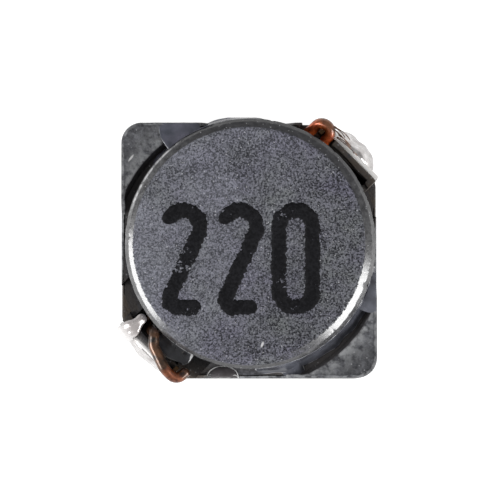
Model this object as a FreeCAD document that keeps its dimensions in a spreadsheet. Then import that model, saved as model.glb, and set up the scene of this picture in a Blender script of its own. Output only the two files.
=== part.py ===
import FreeCAD, Part
import math
import os
import Sketcher
from FreeCAD import Placement, Rotation, Vector

doc = FreeCAD.newDocument("ShieldedInductor")
sheet = doc.addObject("Spreadsheet::Sheet", "Sizes")

# Driving dimensions in millimetres.
# +X is the photo's right, +Y its top edge, +Z up, and Z = 0 is the face the terminals stand on.
DRIVING = [
    ("side", 6.0, "side of the square ring"),
    ("ring_height", 2.30, "height of the ring with its corner posts"),
    ("corner_radius", 0.48, "radius of the two plain corners"),
    ("cut_room", 0.35, "cut corner's face, further out than the top disc's radius"),
    ("cut_blend", 0.30, "radius where a cut corner meets the sides"),
    ("edge_bevel", 0.06, "bevel round the ring's outer edges"),
    ("bore_wall", 0.30, "ring's wall where the bore comes closest to a side"),
    ("seat_depth", 0.32, "height of the posts above the seat"),
    ("seat_flare", 0.08, "draft of the seat's wall, on the radius"),
    ("post_bevel", 0.05, "bevel on the posts' inner edge"),
    ("seat_gap", 0.04, "gap round the disc where it comes closest"),
    ("wall_thick", 0.18, "ring wall left in front of a lead pocket"),
    ("wall_drop", 0.20, "how far that wall stays below the posts"),
    ("pocket_width", 0.80, "lead pocket, from the corner's middle to its plain end"),
    ("pocket_floor", 0.55, "level of the lead pocket's floor"),
    ("exit_drop", 0.72, "depth of the wire notch and of the relief, below the posts"),
    ("relief_start", 0.95, "relief, its near end from the corner's middle"),
    ("relief_end", 1.55, "relief, its far end from the corner's middle"),
    ("rim_inset", 0.07, "top disc's radius, short of half the ring's side"),
    ("disc_thick", 0.70, "thickness of the top disc"),
    ("face_width", 0.22, "top face's edge, inside the disc's radius"),
    ("bevel_width", 0.08, "foot of the top bevel, inside the disc's radius"),
    ("bevel_drop", 0.08, "depth of the top bevel"),
    ("rim_drop", 0.20, "depth at which the disc has its full radius"),
    ("under_bevel", 0.08, "bevel under the disc"),
    ("neck_radius", 1.25, "radius of the drum's post"),
    ("flange_thick", 0.54, "thickness of the lower flange"),
    ("flange_gap", 0.05, "gap between lower flange and bore where it comes closest"),
    ("flange_lift", 0.04, "lower flange above the ring's underside"),
    ("shift_x", 0.03, "drum glued in off centre, to the right"),
    ("shift_y", 0.15, "drum glued in off centre, to the back"),
    ("wire_thick", 0.26, "enamelled wire"),
    ("turn_gap", 0.01, "space between turns, and between wire and drum"),
    ("wrap_radius", 0.22, "radius of the wire round the hook"),
    ("wrap_lift", 0.10, "wire round the hook above the upright's top"),
    ("gate_inset", 0.11, "bend where lead A drops below the disc, inside the disc's rim"),
    ("exit_splay", 0.10, "room in the wire notch for a lead that comes in at a slant"),
    ("rise_shift", 0.46, "place where lead B rises, to the plain side of the corner's middle"),
    ("strip_thick", 0.12, "terminal strip"),
    ("foot_length", 0.88, "foot under the ring, from the cut corner's face inward"),
    ("upright_width", 1.74, "width of the terminal's upright"),
    ("upright_shift", 0.06, "upright set off to the plain side of the corner"),
    ("upright_drop", 0.42, "upright's top below the posts"),
    ("bend_radius", 0.16, "outer radius of the bend under the ring"),
    ("hook_width", 0.10, "hook that holds the wire"),
    ("hook_inset", 0.11, "hook's middle behind the corner's face"),
    ("hook_rise", 0.08, "hook's end above the wire round it"),
    ("solder_half", 0.70, "half the width of a solder joint"),
    ("solder_foot", 0.35, "level where a solder joint begins"),
    ("solder_short", 0.05, "where it ends, below the upright's top"),
    ("solder_bulge_a", 0.34, "bulge of the fuller joint"),
    ("solder_bulge_b", 0.18, "bulge of the leaner joint"),
    ("run_width", 0.32, "solder that ran over the wall"),
    ("run_shift", 0.67, "that run, from the corner's middle"),
    ("run_thick", 0.22, "that run's thickness on the wall"),
    ("run_gap", 0.05, "that run short of the disc"),
    ("bead_width", 0.20, "bead of adhesive round the disc"),
    ("smear_width", 0.62, "adhesive smeared outward from the disc's rim"),
    ("bead_height", 0.28, "height of the bead on the seat"),
    ("film_height", 0.04, "adhesive smeared over a post"),
    ("drop_radius", 0.33, "drop of adhesive on the seat in front"),
    ("drop_gap", 0.31, "that drop's middle, out from the disc's rim"),
    ("smear_angle", 112, "degrees from +X to the smear's start"),
    ("smear_sweep_angle", 18, "degrees that the smear runs on"),
    ("bead_angle", 286, "degrees from +X to the bead's start"),
    ("bead_sweep_angle", 59, "degrees that the bead runs on"),
    ("fill_angle", 228, "degrees from +X to the filling's start"),
    ("fill_sweep_angle", 16, "degrees that the filling runs on"),
    ("drop_angle", 257, "degrees from +X to the drop"),
]

# Sizes that follow from the driving ones.
DERIVED = [
    ("half_side", "=side / 2", "half the ring's side"),
    ("half_diagonal", "=side / sqrt(2)", "centre to the corner of the square"),
    ("bore_radius", "=half_side - bore_wall", "bore that holds winding and lower flange"),
    ("disc_radius", "=half_side - rim_inset", "radius of the drum's top disc"),
    ("cut_reach", "=disc_radius + cut_room", "centre to a cut corner's face"),
    ("shift", "=sqrt(shift_x ^ 2 + shift_y ^ 2)", "how far the drum is off centre"),
    ("corner_shift", "=(shift_x + shift_y) / sqrt(2)", "that, towards the cut corner at the back"),
    ("ring_top", "=strip_thick + ring_height", "top of the corner posts"),
    ("seat_level", "=ring_top - seat_depth", "ledge that carries the disc"),
    ("seat_radius", "=disc_radius + shift + seat_gap", "seat's wall at the ledge"),
    ("wall_inner", "=cut_reach - wall_thick", "inner face of the wall before a lead pocket"),
    ("wall_top", "=ring_top - wall_drop", "top of that wall"),
    ("disc_top", "=seat_level + disc_thick", "top face of the drum"),
    ("flange_radius", "=bore_radius - shift - flange_gap", "lower flange"),
    ("flange_bottom", "=strip_thick + flange_lift", "underside of the lower flange"),
    ("flange_top", "=flange_bottom + flange_thick", "upper side of the lower flange"),
    ("exit_floor", "=ring_top - exit_drop", "floor of the wire notch and of the relief"),
    ("foot_reach", "=cut_reach - foot_length", "centre to the foot's inner edge"),
    ("strip_outer", "=cut_reach + strip_thick", "outer face of a terminal's upright"),
    ("upright_top", "=ring_top - upright_drop", "top of the upright"),
    ("solder_end", "=upright_top - solder_short", "level where a solder joint ends"),
    ("solder_level", "=(solder_foot + solder_end) / 2", "level of its middle"),
    ("solder_rise", "=(solder_end - solder_foot) / 2", "half its height"),
    ("wrap_level", "=upright_top + wire_thick / 2 + wrap_lift", "wire round the hook"),
    ("hook_top", "=wrap_level + wire_thick / 2 + hook_rise", "top of the hook"),
    ("hook_shift", "=(upright_width - hook_width) / 2 - upright_shift", "hook, from the corner's middle"),
    ("exit_clear", "=wrap_radius + wire_thick / 2 + 2 * turn_gap", "wire beside the hook"),
    ("notch_start", "=hook_shift - exit_clear", "wire notch, near side"),
    ("notch_end", "=hook_shift + exit_clear + exit_splay", "wire notch, far side"),
    ("pocket_end", "=hook_shift - wrap_radius + wire_thick / 2 + 2 * turn_gap", "lead pocket"),
    ("fill_radius", "=wall_inner + corner_shift + wall_thick / 4", "filling, as far as into the wall"),
]

NOTE, VALUE = "A", "B"
for row, (name, value, note) in enumerate(DRIVING + DERIVED, start=1):
    sheet.set(f"{NOTE}{row}", note)
    sheet.set(f"{VALUE}{row}", str(value))
    sheet.setAlias(f"{VALUE}{row}", name)
doc.recompute()

FULL_TURN = 360
HALF_TURN = FULL_TURN / 2
QUARTER_TURN = FULL_TURN / 4
CUT_CORNER = FULL_TURN / 8
OVERSHOOT = 1.0
TINY = 1e-4


def size(name):
    """A named size as a plain number."""
    return float(getattr(sheet, name))


def new_body(label):
    body = doc.addObject("PartDesign::Body", label)
    body.Label = label
    return body


def origin_plane(body, role):
    """One of the body's own origin planes."""
    return next(item for item in body.Origin.OriginFeatures if item.Role == role)


def new_sketch(body, name, plane, level="0", turn=0):
    """An empty sketch on an origin plane, lifted to a level and turned about its normal."""
    sketch = body.newObject("Sketcher::SketchObject", name)
    sketch.AttachmentSupport = (origin_plane(body, plane), [""])
    sketch.MapMode = "FlatFace"
    sketch.AttachmentOffset = Placement(Vector(), Rotation(Vector(0, 0, 1), turn))
    sketch.setExpression("AttachmentOffset.Base.z", level)
    return sketch


def add_loop(sketch, corners):
    """A closed loop of lines; each corner is a pair of formulas, bound to the sheet."""
    places = [
        [float(sketch.evalExpression(formula)) for formula in corner] for corner in corners
    ]
    first = sketch.GeometryCount
    count = len(corners)
    for index in range(count):
        start = Vector(*places[index], 0)
        end = Vector(*places[(index + 1) % count], 0)
        sketch.addGeometry(Part.LineSegment(start, end))
    for index in range(count):
        after = first + (index + 1) % count
        sketch.addConstraint(Sketcher.Constraint("Coincident", first + index, 2, after, 1))
    for index, corner in enumerate(corners):
        for kind, formula, place in zip(("DistanceX", "DistanceY"), corner, places[index]):
            number = sketch.addConstraint(Sketcher.Constraint(kind, first + index, 1, place))
            sketch.setExpression(f"Constraints[{number}]", formula)


def rectangle(low, high, left, right):
    """Corners of a rectangle between two distances and two offsets."""
    return [(low, left), (high, left), (high, right), (low, right)]


def both_corners(corners):
    """A loop at one cut corner, and the same loop half a turn on, at the other."""
    opposite = [(f"-({x})", f"-({y})") for x, y in corners]
    return [corners, opposite]


def pad(body, name, sketch, length, symmetric=False):
    feature = body.newObject("PartDesign::Pad", name)
    feature.Profile = sketch
    feature.Midplane = symmetric
    feature.setExpression("Length", length)
    return feature


def turned(body, kind, name, sketch):
    """A revolution or groove of a sketch about its vertical axis."""
    feature = body.newObject(f"PartDesign::{kind}", name)
    feature.Profile = sketch
    feature.ReferenceAxis = (sketch, ["V_Axis"])
    feature.Angle = FULL_TURN
    return feature


def cut_down(body, name, loops, top, floor):
    """A pocket at the cut corners from one level down to another."""
    sketch = new_sketch(body, f"{name}Sketch", "XY_Plane", top, CUT_CORNER)
    for loop in loops:
        add_loop(sketch, loop)
    doc.recompute()
    before = body.Shape.Volume
    feature = body.newObject("PartDesign::Pocket", name)
    feature.Profile = sketch
    feature.setExpression("Length", f"({top}) - ({floor})")
    doc.recompute()
    if body.Shape.Volume >= before:
        raise RuntimeError(f"{name} cuts nothing")
    return feature


def edges_where(shape, test):
    """Names of the edges whose middle point passes a test."""
    names = []
    for index, edge in enumerate(shape.Edges, start=1):
        middle = edge.valueAt((edge.FirstParameter + edge.LastParameter) / 2)
        if test(edge, middle):
            names.append(f"Edge{index}")
    return names


def dress(body, kind, name, test, formula):
    """A fillet or chamfer on the edges of the body so far that pass a test."""
    doc.recompute()
    base = body.Tip
    feature = body.newObject(f"PartDesign::{kind}", name)
    feature.Base = (base, edges_where(base.Shape, test))
    feature.setExpression("Radius" if kind == "Fillet" else "Size", formula)
    return feature


def is_upright_edge(edge, middle):
    """A straight edge along Z."""
    return abs(edge.tangentAt(edge.FirstParameter).z) > 1 - TINY


# Shield ring: a pressed ferrite block with two plain and two cut corners,
# bored for the winding and counterbored so wide that only the corner posts stand.
def build_ring():
    body = new_body("shield_ring")
    half = "Sizes.half_side"
    cut = "(Sizes.cut_reach * sqrt(2) - Sizes.half_side)"
    block = new_sketch(body, "RingOutline", "XY_Plane", "Sizes.strip_thick")
    add_loop(block, [
        (cut, half), (half, cut), (half, f"-{half}"),
        (f"-{cut}", f"-{half}"), (f"-{half}", f"-{cut}"), (f"-{half}", half),
    ])
    pad(body, "RingBlock", block, "Sizes.ring_height")

    def on_plain_corner(edge, middle):
        return is_upright_edge(edge, middle) and middle.x * middle.y < -size("half_side")

    def on_cut_corner(edge, middle):
        return is_upright_edge(edge, middle) and middle.x * middle.y > 0

    def on_rim(edge, middle):
        return not is_upright_edge(edge, middle)

    dress(body, "Fillet", "PlainCorners", on_plain_corner, "Sizes.corner_radius")
    dress(body, "Fillet", "CutCornerBlends", on_cut_corner, "Sizes.cut_blend")
    dress(body, "Chamfer", "RimBevel", on_rim, "Sizes.edge_bevel")

    bore = new_sketch(body, "BoreSection", "XZ_Plane")
    seat_top = "Sizes.seat_radius + Sizes.seat_flare"
    add_loop(bore, [
        ("0", f"Sizes.strip_thick - {OVERSHOOT}"),
        ("Sizes.bore_radius", f"Sizes.strip_thick - {OVERSHOOT}"),
        ("Sizes.bore_radius", "Sizes.seat_level"),
        ("Sizes.seat_radius", "Sizes.seat_level"),
        (seat_top, "Sizes.ring_top - Sizes.post_bevel"),
        (f"{seat_top} + Sizes.post_bevel", "Sizes.ring_top"),
        (f"{seat_top} + Sizes.post_bevel", f"Sizes.ring_top + {OVERSHOOT}"),
        ("0", f"Sizes.ring_top + {OVERSHOOT}"),
    ])
    turned(body, "Groove", "BoreAndSeat", bore)

    outside = f"Sizes.cut_reach + {OVERSHOOT}"
    inside = "Sizes.neck_radius"
    pocket = rectangle(inside, "Sizes.wall_inner", "-Sizes.pocket_width", "Sizes.pocket_end")
    wall = rectangle(inside, outside, "-Sizes.relief_start", "Sizes.notch_end")
    relief = rectangle(inside, outside, "-Sizes.relief_end", "-Sizes.relief_start")
    notch = rectangle(inside, outside, "Sizes.notch_start", "Sizes.notch_end")
    top = "Sizes.ring_top"
    cut_down(body, "LeadPockets", both_corners(pocket), top, "Sizes.pocket_floor")
    cut_down(body, "LoweredWalls", both_corners(wall), top, "Sizes.wall_top")
    cut_down(body, "Reliefs", both_corners(relief), top, "Sizes.exit_floor")
    cut_down(body, "WireNotches", both_corners(notch), top, "Sizes.exit_floor")
    return body


# Drum core: turned ferrite spool, its bevelled top disc resting on the ring's ledge.
def build_drum():
    body = new_body("drum_core")
    section = new_sketch(body, "DrumSection", "XZ_Plane")
    add_loop(section, [
        ("0", "Sizes.flange_bottom"),
        ("Sizes.flange_radius", "Sizes.flange_bottom"),
        ("Sizes.flange_radius", "Sizes.flange_top"),
        ("Sizes.neck_radius", "Sizes.flange_top"),
        ("Sizes.neck_radius", "Sizes.seat_level"),
        ("Sizes.disc_radius - Sizes.under_bevel", "Sizes.seat_level"),
        ("Sizes.disc_radius", "Sizes.seat_level + Sizes.under_bevel"),
        ("Sizes.disc_radius", "Sizes.disc_top - Sizes.rim_drop"),
        ("Sizes.disc_radius - Sizes.bevel_width", "Sizes.disc_top - Sizes.bevel_drop"),
        ("Sizes.disc_radius - Sizes.face_width", "Sizes.disc_top"),
        ("0", "Sizes.disc_top"),
    ])
    turned(body, "Revolution", "Drum", section)
    body.setExpression("Placement.Base.x", "Sizes.shift_x")
    body.setExpression("Placement.Base.y", "Sizes.shift_y")
    return body


# Terminal: tinned strip, its foot under the ring and its upright on the cut corner's face,
# with a hook that reaches into the wire notch. Drawn at +X and turned to its corner.
def build_terminal(label, corner):
    body = new_body(label)
    foot = new_sketch(body, "FootOutline", "XY_Plane")
    wide = "(Sizes.half_diagonal - Sizes.foot_reach)"
    narrow = "(Sizes.half_diagonal - Sizes.cut_reach)"
    add_loop(foot, [
        ("Sizes.foot_reach", f"-{wide}"), ("Sizes.cut_reach", f"-{narrow}"),
        ("Sizes.cut_reach", narrow), ("Sizes.foot_reach", wide),
    ])
    pad(body, "Foot", foot, "Sizes.strip_thick")

    def on_foot_corner(edge, middle):
        return is_upright_edge(edge, middle) and middle.x > size("cut_reach") - TINY

    dress(body, "Fillet", "FootCorners", on_foot_corner, "Sizes.cut_blend")

    strip = new_sketch(body, "StripSection", "XZ_Plane", "Sizes.upright_shift")
    add_loop(strip, [
        ("Sizes.foot_reach + Sizes.strip_thick", "0"),
        ("Sizes.strip_outer", "0"),
        ("Sizes.strip_outer", "Sizes.upright_top"),
        ("Sizes.cut_reach", "Sizes.upright_top"),
        ("Sizes.cut_reach", "Sizes.strip_thick"),
        ("Sizes.foot_reach + Sizes.strip_thick", "Sizes.strip_thick"),
    ])
    pad(body, "Upright", strip, "Sizes.upright_width", symmetric=True)

    def on_bend(edge, middle):
        return abs(middle.x - size("strip_outer")) < TINY and abs(middle.z) < TINY

    def on_top_corner(edge, middle):
        across = abs(edge.tangentAt(edge.FirstParameter).x) > 1 - TINY
        return across and abs(middle.z - size("upright_top")) < TINY

    dress(body, "Fillet", "Bend", on_bend, "Sizes.bend_radius")
    dress(body, "Fillet", "TopCorners", on_top_corner, "Sizes.strip_thick")

    hook = new_sketch(body, "HookSection", "XZ_Plane", "-Sizes.hook_shift")
    back = "Sizes.cut_reach - Sizes.hook_inset - Sizes.strip_thick / 2"
    front = "Sizes.cut_reach - Sizes.hook_inset + Sizes.strip_thick / 2"
    arm = "Sizes.exit_floor + Sizes.strip_thick"
    add_loop(hook, [
        ("Sizes.cut_reach", "Sizes.exit_floor - Sizes.strip_thick"),
        ("Sizes.strip_outer", "Sizes.exit_floor - Sizes.strip_thick"),
        ("Sizes.strip_outer", arm),
        (front, arm),
        (front, "Sizes.hook_top"),
        (back, "Sizes.hook_top"),
        (back, "Sizes.exit_floor"),
        ("Sizes.cut_reach", "Sizes.exit_floor"),
    ])
    pad(body, "Hook", hook, "Sizes.hook_width", symmetric=True)
    body.Placement = Placement(Vector(), Rotation(Vector(0, 0, 1), corner))
    return body


# Wire: two layers of turns on the drum's post, wound as half turns that lie flat and
# half turns that step over, and two leads of straight runs with bends.
def coil_point(centre, radius, angle, level):
    """A point on a turn of the coil."""
    return centre + Vector(radius * math.cos(angle), radius * math.sin(angle), level)


def part_turn_arc(centre, radius, angle, sweep, level):
    """A flat arc of any sweep on a turn of the coil."""
    start, middle, end = (
        coil_point(centre, radius, angle + share * sweep, level) for share in (0, 0.5, 1)
    )
    return Part.Arc(start, middle, end).toShape()


def half_turn_arc(centre, radius, angle, level, climb=0.0, growth=0.0):
    """Half a turn that may climb, or end on a larger turn; it joins its neighbours smoothly."""
    start = coil_point(centre, radius, angle, level)
    end = coil_point(centre, radius + growth, angle + math.pi, level + climb)
    ahead = Vector(-math.sin(angle), math.cos(angle), 0)
    middle = (start + end) / 2 + ahead * (start.distanceToPoint(end) / 2)
    return Part.Arc(start, middle, end).toShape()


def bent_run(points, radii):
    """Straight runs through points, with an arc of the given radius at each inner point."""
    edges = []
    last = points[0]
    for before, corner, after, radius in zip(points, points[1:], points[2:], radii):
        arrive = (corner - before).normalize()
        leave = (after - corner).normalize()
        turn = arrive.getAngle(leave)
        cut = radius * math.tan(turn / 2)
        start = corner - arrive * cut
        end = corner + leave * cut
        inward = (leave - arrive).normalize()
        middle = corner + inward * (radius / math.cos(turn / 2) - radius)
        if (start - last).Length > TINY:
            edges.append(Part.LineSegment(last, start).toShape())
        edges.append(Part.Arc(start, middle, end).toShape())
        last = end
    edges.append(Part.LineSegment(last, points[-1]).toShape())
    return edges


def corner_point(corner, out, aside, level):
    """A point given from a cut corner: out along its diagonal, aside across it, and up."""
    turn = math.radians(corner)
    x = out * math.cos(turn) - aside * math.sin(turn)
    y = out * math.sin(turn) + aside * math.cos(turn)
    return Vector(x, y, level)


def leaving_angle(centre, radius, target, forward):
    """Angle on a coil from which a tangent reaches the target, forward or backward."""
    away = target - centre
    to_target = math.atan2(away.y, away.x)
    swing = math.acos(radius / math.hypot(away.x, away.y))
    return to_target - swing if forward else to_target + swing


def build_winding():
    thick = size("wire_thick")
    gap = size("turn_gap")
    pitch = thick + gap
    centre = Vector(size("shift_x"), size("shift_y"), 0)
    inner = size("neck_radius") + gap + thick / 2
    outer = inner + pitch
    highest = size("seat_level") - gap - thick / 2
    lowest = size("flange_top") + gap + thick / 2
    steps = int((highest - lowest) / pitch)

    hook_out = size("cut_reach") - size("hook_inset")
    hook_aside = size("hook_shift")
    wrap = size("wrap_radius")
    wrap_level = size("wrap_level")
    bend = wrap - 2 * gap
    near_wall = size("wall_inner") - thick / 2 - 2 * gap

    # lead A comes out of its pocket, passes round the hook and runs in to the inner layer
    corner = CUT_CORNER
    rim = size("disc_radius") + size("corner_shift")
    gate = corner_point(corner, rim - size("gate_inset"), hook_aside + wrap, highest)
    angle = leaving_angle(centre, inner, gate, forward=False)
    lead_a = [
        corner_point(corner, near_wall, hook_aside - wrap, size("pocket_floor") + 2 * thick),
        corner_point(corner, near_wall, hook_aside - wrap, highest - gap),
        corner_point(corner, hook_out + wrap, hook_aside - wrap, wrap_level),
        corner_point(corner, hook_out + wrap, hook_aside + wrap, wrap_level),
        gate,
        coil_point(centre, inner, angle, highest),
    ]
    edges = bent_run(lead_a, [bend, bend, bend, bend])

    # inner layer down beside the post, half a turn outward, outer layer up again
    level = highest
    for turn in range(steps):
        edges.append(half_turn_arc(centre, inner, angle, level))
        edges.append(half_turn_arc(centre, inner, angle + math.pi, level, climb=-pitch))
        level -= pitch
    edges.append(half_turn_arc(centre, inner, angle, level))
    angle += math.pi
    edges.append(half_turn_arc(centre, inner, angle, level, growth=pitch))
    angle += math.pi
    for turn in range(steps - 1):
        edges.append(half_turn_arc(centre, outer, angle, level))
        edges.append(half_turn_arc(centre, outer, angle + math.pi, level, climb=pitch))
        level += pitch

    # the outer layer's last turn ends where lead B leaves for the opposite corner
    corner = CUT_CORNER + HALF_TURN
    over_wall = size("wall_top") + thick / 2 + gap
    foot = corner_point(corner, near_wall, -size("rise_shift"), level)
    last_angle = leaving_angle(centre, outer, foot, forward=True)
    rest = (last_angle - angle) % (2 * math.pi)
    edges.append(part_turn_arc(centre, outer, angle, rest, level))
    lead_b = [
        coil_point(centre, outer, last_angle, level),
        foot,
        corner_point(corner, near_wall, thick - size("rise_shift"), over_wall),
        corner_point(corner, size("wall_inner") + size("wall_thick") / 2, 0, over_wall),
        corner_point(corner, hook_out + wrap, hook_aside - wrap, over_wall),
        corner_point(corner, hook_out + wrap, hook_aside + wrap, wrap_level),
        corner_point(corner, hook_out - wrap / 2, hook_aside + wrap, wrap_level - gap),
    ]
    edges += bent_run(lead_b, [bend, bend / 2, bend, 2 * bend, bend])

    path = Part.Wire(edges)
    section = Part.Wire([Part.Circle(lead_a[0], lead_a[1] - lead_a[0], thick / 2).toShape()])
    wire = path.makePipeShell([section], True, False)
    print("wire length", round(path.Length, 2))
    winding = doc.addObject("Part::Feature", "winding")
    winding.Label = "winding"
    winding.Shape = wire
    return winding


# Solder: a dome on the upright's face, and at one corner a run over the wall to the disc.
def build_solder(label, corner, bulge, runs_over=False):
    body = new_body(label)
    dome = body.newObject("PartDesign::AdditiveEllipsoid", f"{label}_dome")
    dome.Angle1 = 0
    dome.setExpression("Radius1", bulge)
    dome.setExpression("Radius2", "Sizes.solder_rise")
    dome.setExpression("Radius3", "Sizes.solder_half")
    dome.Placement = Placement(Vector(), Rotation(Vector(0, 1, 0), QUARTER_TURN))
    dome.setExpression("Placement.Base.x", "Sizes.strip_outer")
    dome.setExpression("Placement.Base.y", "-Sizes.upright_shift")
    dome.setExpression("Placement.Base.z", "Sizes.solder_level")
    if runs_over:
        run = new_sketch(body, "RunSection", "XZ_Plane", "Sizes.run_shift")
        outer = "Sizes.strip_outer"
        bulged = f"{outer} + {bulge}"
        tip = "Sizes.disc_radius + Sizes.run_gap - Sizes.corner_shift"
        add_loop(run, [
            (outer, "Sizes.solder_level"),
            (bulged, "Sizes.solder_level + Sizes.run_thick"),
            (bulged, "Sizes.upright_top"),
            ("Sizes.cut_reach", "Sizes.wall_top + Sizes.run_thick"),
            (tip, "Sizes.wall_top + Sizes.run_thick"),
            (tip, "Sizes.wall_top"),
            ("Sizes.cut_reach", "Sizes.wall_top"),
            ("Sizes.cut_reach", "Sizes.upright_top"),
            (outer, "Sizes.upright_top"),
        ])
        pad(body, "Run", run, "Sizes.run_width", symmetric=True)

        def on_top(edge, middle):
            return middle.z > size("wall_top") + TINY

        dress(body, "Fillet", "RunRounding", on_top, "Sizes.run_thick / 3")
    body.Placement = Placement(Vector(), Rotation(Vector(0, 0, 1), corner))
    return body


# Adhesive: each bead is a simple form, less the disc and the ring that it lies against.
def bead_between(label, form, ring, drum):
    """The part of a form within the ring's square that ring and drum leave free."""
    square = doc.addObject("Part::Box", f"{label}_square")
    for prop, formula in (
        ("Length", "Sizes.side"), ("Width", "Sizes.side"), ("Height", "Sizes.disc_top"),
        ("Placement.Base.x", "-Sizes.half_side"), ("Placement.Base.y", "-Sizes.half_side"),
    ):
        square.setExpression(prop, formula)
    inside = doc.addObject("Part::Common", f"{label}_inside")
    inside.Base = form
    inside.Tool = square
    beside_drum = doc.addObject("Part::Cut", f"{label}_beside_drum")
    beside_drum.Base = inside
    beside_drum.Tool = drum
    bead = doc.addObject("Part::Cut", label)
    bead.Base = beside_drum
    bead.Tool = ring
    bead.Label = label
    return bead


def build_disc_bead(label, ring, drum, kind, radius, top):
    """A bead along the disc's rim, over its own angles, from the seat up to a level."""
    form = doc.addObject("Part::Cylinder", f"{label}_form")
    form.Placement = Placement(Vector(), Rotation(Vector(0, 0, 1), size(f"{kind}_angle")))
    for prop, formula in (
        ("Radius", radius), ("Height", f"{top} - Sizes.seat_level"),
        ("Angle", f"Sizes.{kind}_sweep_angle"),
        ("Placement.Base.x", "Sizes.shift_x"), ("Placement.Base.y", "Sizes.shift_y"),
        ("Placement.Base.z", "Sizes.seat_level"),
    ):
        form.setExpression(prop, formula)
    return bead_between(label, form, ring, drum)


def build_drop(label, ring, drum):
    """A drop on the seat at the ring's front side."""
    form = doc.addObject("Part::Sphere", f"{label}_form")
    form.Angle1 = 0
    reach = "(Sizes.disc_radius + Sizes.drop_gap)"
    for prop, formula in (
        ("Radius", "Sizes.drop_radius"),
        ("Placement.Base.x", f"Sizes.shift_x + {reach} * cos(Sizes.drop_angle)"),
        ("Placement.Base.y", f"Sizes.shift_y + {reach} * sin(Sizes.drop_angle)"),
        ("Placement.Base.z", "Sizes.seat_level"),
    ):
        form.setExpression(prop, formula)
    return bead_between(label, form, ring, drum)


ring = build_ring()
drum = build_drum()
rim = "Sizes.disc_radius"
subparts = [
    ring,
    drum,
    build_winding(),
    build_terminal("terminal_a", CUT_CORNER),
    build_terminal("terminal_b", CUT_CORNER + HALF_TURN),
    build_solder("solder_a", CUT_CORNER, "Sizes.solder_bulge_a"),
    build_solder("solder_b", CUT_CORNER + HALF_TURN, "Sizes.solder_bulge_b", runs_over=True),
    build_disc_bead(
        "adhesive_back_left", ring, drum, "smear",
        f"{rim} + Sizes.smear_width", "Sizes.ring_top + Sizes.film_height",
    ),
    build_disc_bead(
        "adhesive_front_right", ring, drum, "bead",
        f"{rim} + Sizes.bead_width", "Sizes.seat_level + Sizes.bead_height",
    ),
    build_disc_bead(
        "adhesive_front_left", ring, drum, "fill",
        "Sizes.fill_radius", "Sizes.wall_top",
    ),
    build_drop("adhesive_front", ring, drum),
]
doc.recompute()

for item in doc.Objects:
    if "Invalid" in item.State or "Error" in item.State:
        raise RuntimeError(f"{item.Name} is {item.State}")
for part in subparts:
    if part.Shape.isNull() or not part.Shape.isValid():
        raise RuntimeError(f"{part.Label} has no valid shape")
    if len(part.Shape.Solids) != 1:
        raise RuntimeError(f"{part.Label} has {len(part.Shape.Solids)} solids")
    print(part.Label, "volume", round(part.Shape.Volume, 4))

os.makedirs("parts", exist_ok=True)
for part in subparts:
    part.Shape.exportStep(f"parts/{part.Label}.step")
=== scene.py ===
import math

import bpy
import numpy as np
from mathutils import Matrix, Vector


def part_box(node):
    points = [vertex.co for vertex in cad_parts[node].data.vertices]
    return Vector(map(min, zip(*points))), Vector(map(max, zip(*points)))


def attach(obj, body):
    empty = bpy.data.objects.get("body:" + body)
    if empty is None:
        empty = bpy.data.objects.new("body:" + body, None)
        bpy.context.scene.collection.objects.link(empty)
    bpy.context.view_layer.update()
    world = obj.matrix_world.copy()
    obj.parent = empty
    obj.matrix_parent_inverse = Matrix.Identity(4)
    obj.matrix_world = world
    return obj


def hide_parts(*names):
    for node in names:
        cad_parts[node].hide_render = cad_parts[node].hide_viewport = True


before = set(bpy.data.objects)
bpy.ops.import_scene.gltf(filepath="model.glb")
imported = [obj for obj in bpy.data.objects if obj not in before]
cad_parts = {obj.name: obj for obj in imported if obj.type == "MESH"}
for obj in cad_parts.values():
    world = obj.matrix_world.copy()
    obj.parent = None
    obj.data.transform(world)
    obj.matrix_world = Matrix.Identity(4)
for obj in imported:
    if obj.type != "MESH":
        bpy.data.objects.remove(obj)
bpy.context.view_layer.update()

# Shield ring: a pressed and sintered ferrite block, counterbored so wide that only its
# corner posts stand above the seat. Two corners are cut off and hold the lead pockets.
# Shapes are worked out in millimetres, with +X to the right and +Y to the back.
MM = 0.001
ring_low, ring_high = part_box("shield_ring")
drum_low, drum_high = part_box("drum_core")
HALF_SIDE = ring_high.x / MM
RING_BOTTOM = ring_low.z / MM
RING_TOP = ring_high.z / MM
CUT_REACH = 3.28
CUT_TURN = math.radians(45)
SEAT_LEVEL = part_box("adhesive_front_right")[0].z / MM
SEAT_RADIUS = 3.123
SEAT_FLARE = 0.08
BORE_RADIUS = 2.70
WALL_INNER = 3.10
WALL_TOP = 2.22
EXIT_FLOOR = 1.70
POCKET_FLOOR = 0.55
POCKET = (-0.80, 0.69)
NOTCH = (0.39, 1.23)
RELIEF = (-1.55, -0.95)
LOW_WALL = (-0.95, 1.23)
FLUXED = (-1.65, 1.45)
CORNER_ROUND = 0.48
CUT_ROUND = 0.3
SEAT_EDGE = 0.05
SIDE_EDGE = 0.06
LOW_EDGE = 0.05
DRUM_X = (drum_low.x + drum_high.x) / 2 / MM
DRUM_Y = (drum_low.y + drum_high.y) / 2 / MM
DISC_RADIUS = (drum_high.x - drum_low.x) / 2 / MM
dice = np.random.default_rng(31)


def unit(vectors):
    """Vectors divided by their own lengths."""
    return vectors / np.linalg.norm(vectors, axis=-1, keepdims=True)


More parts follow.
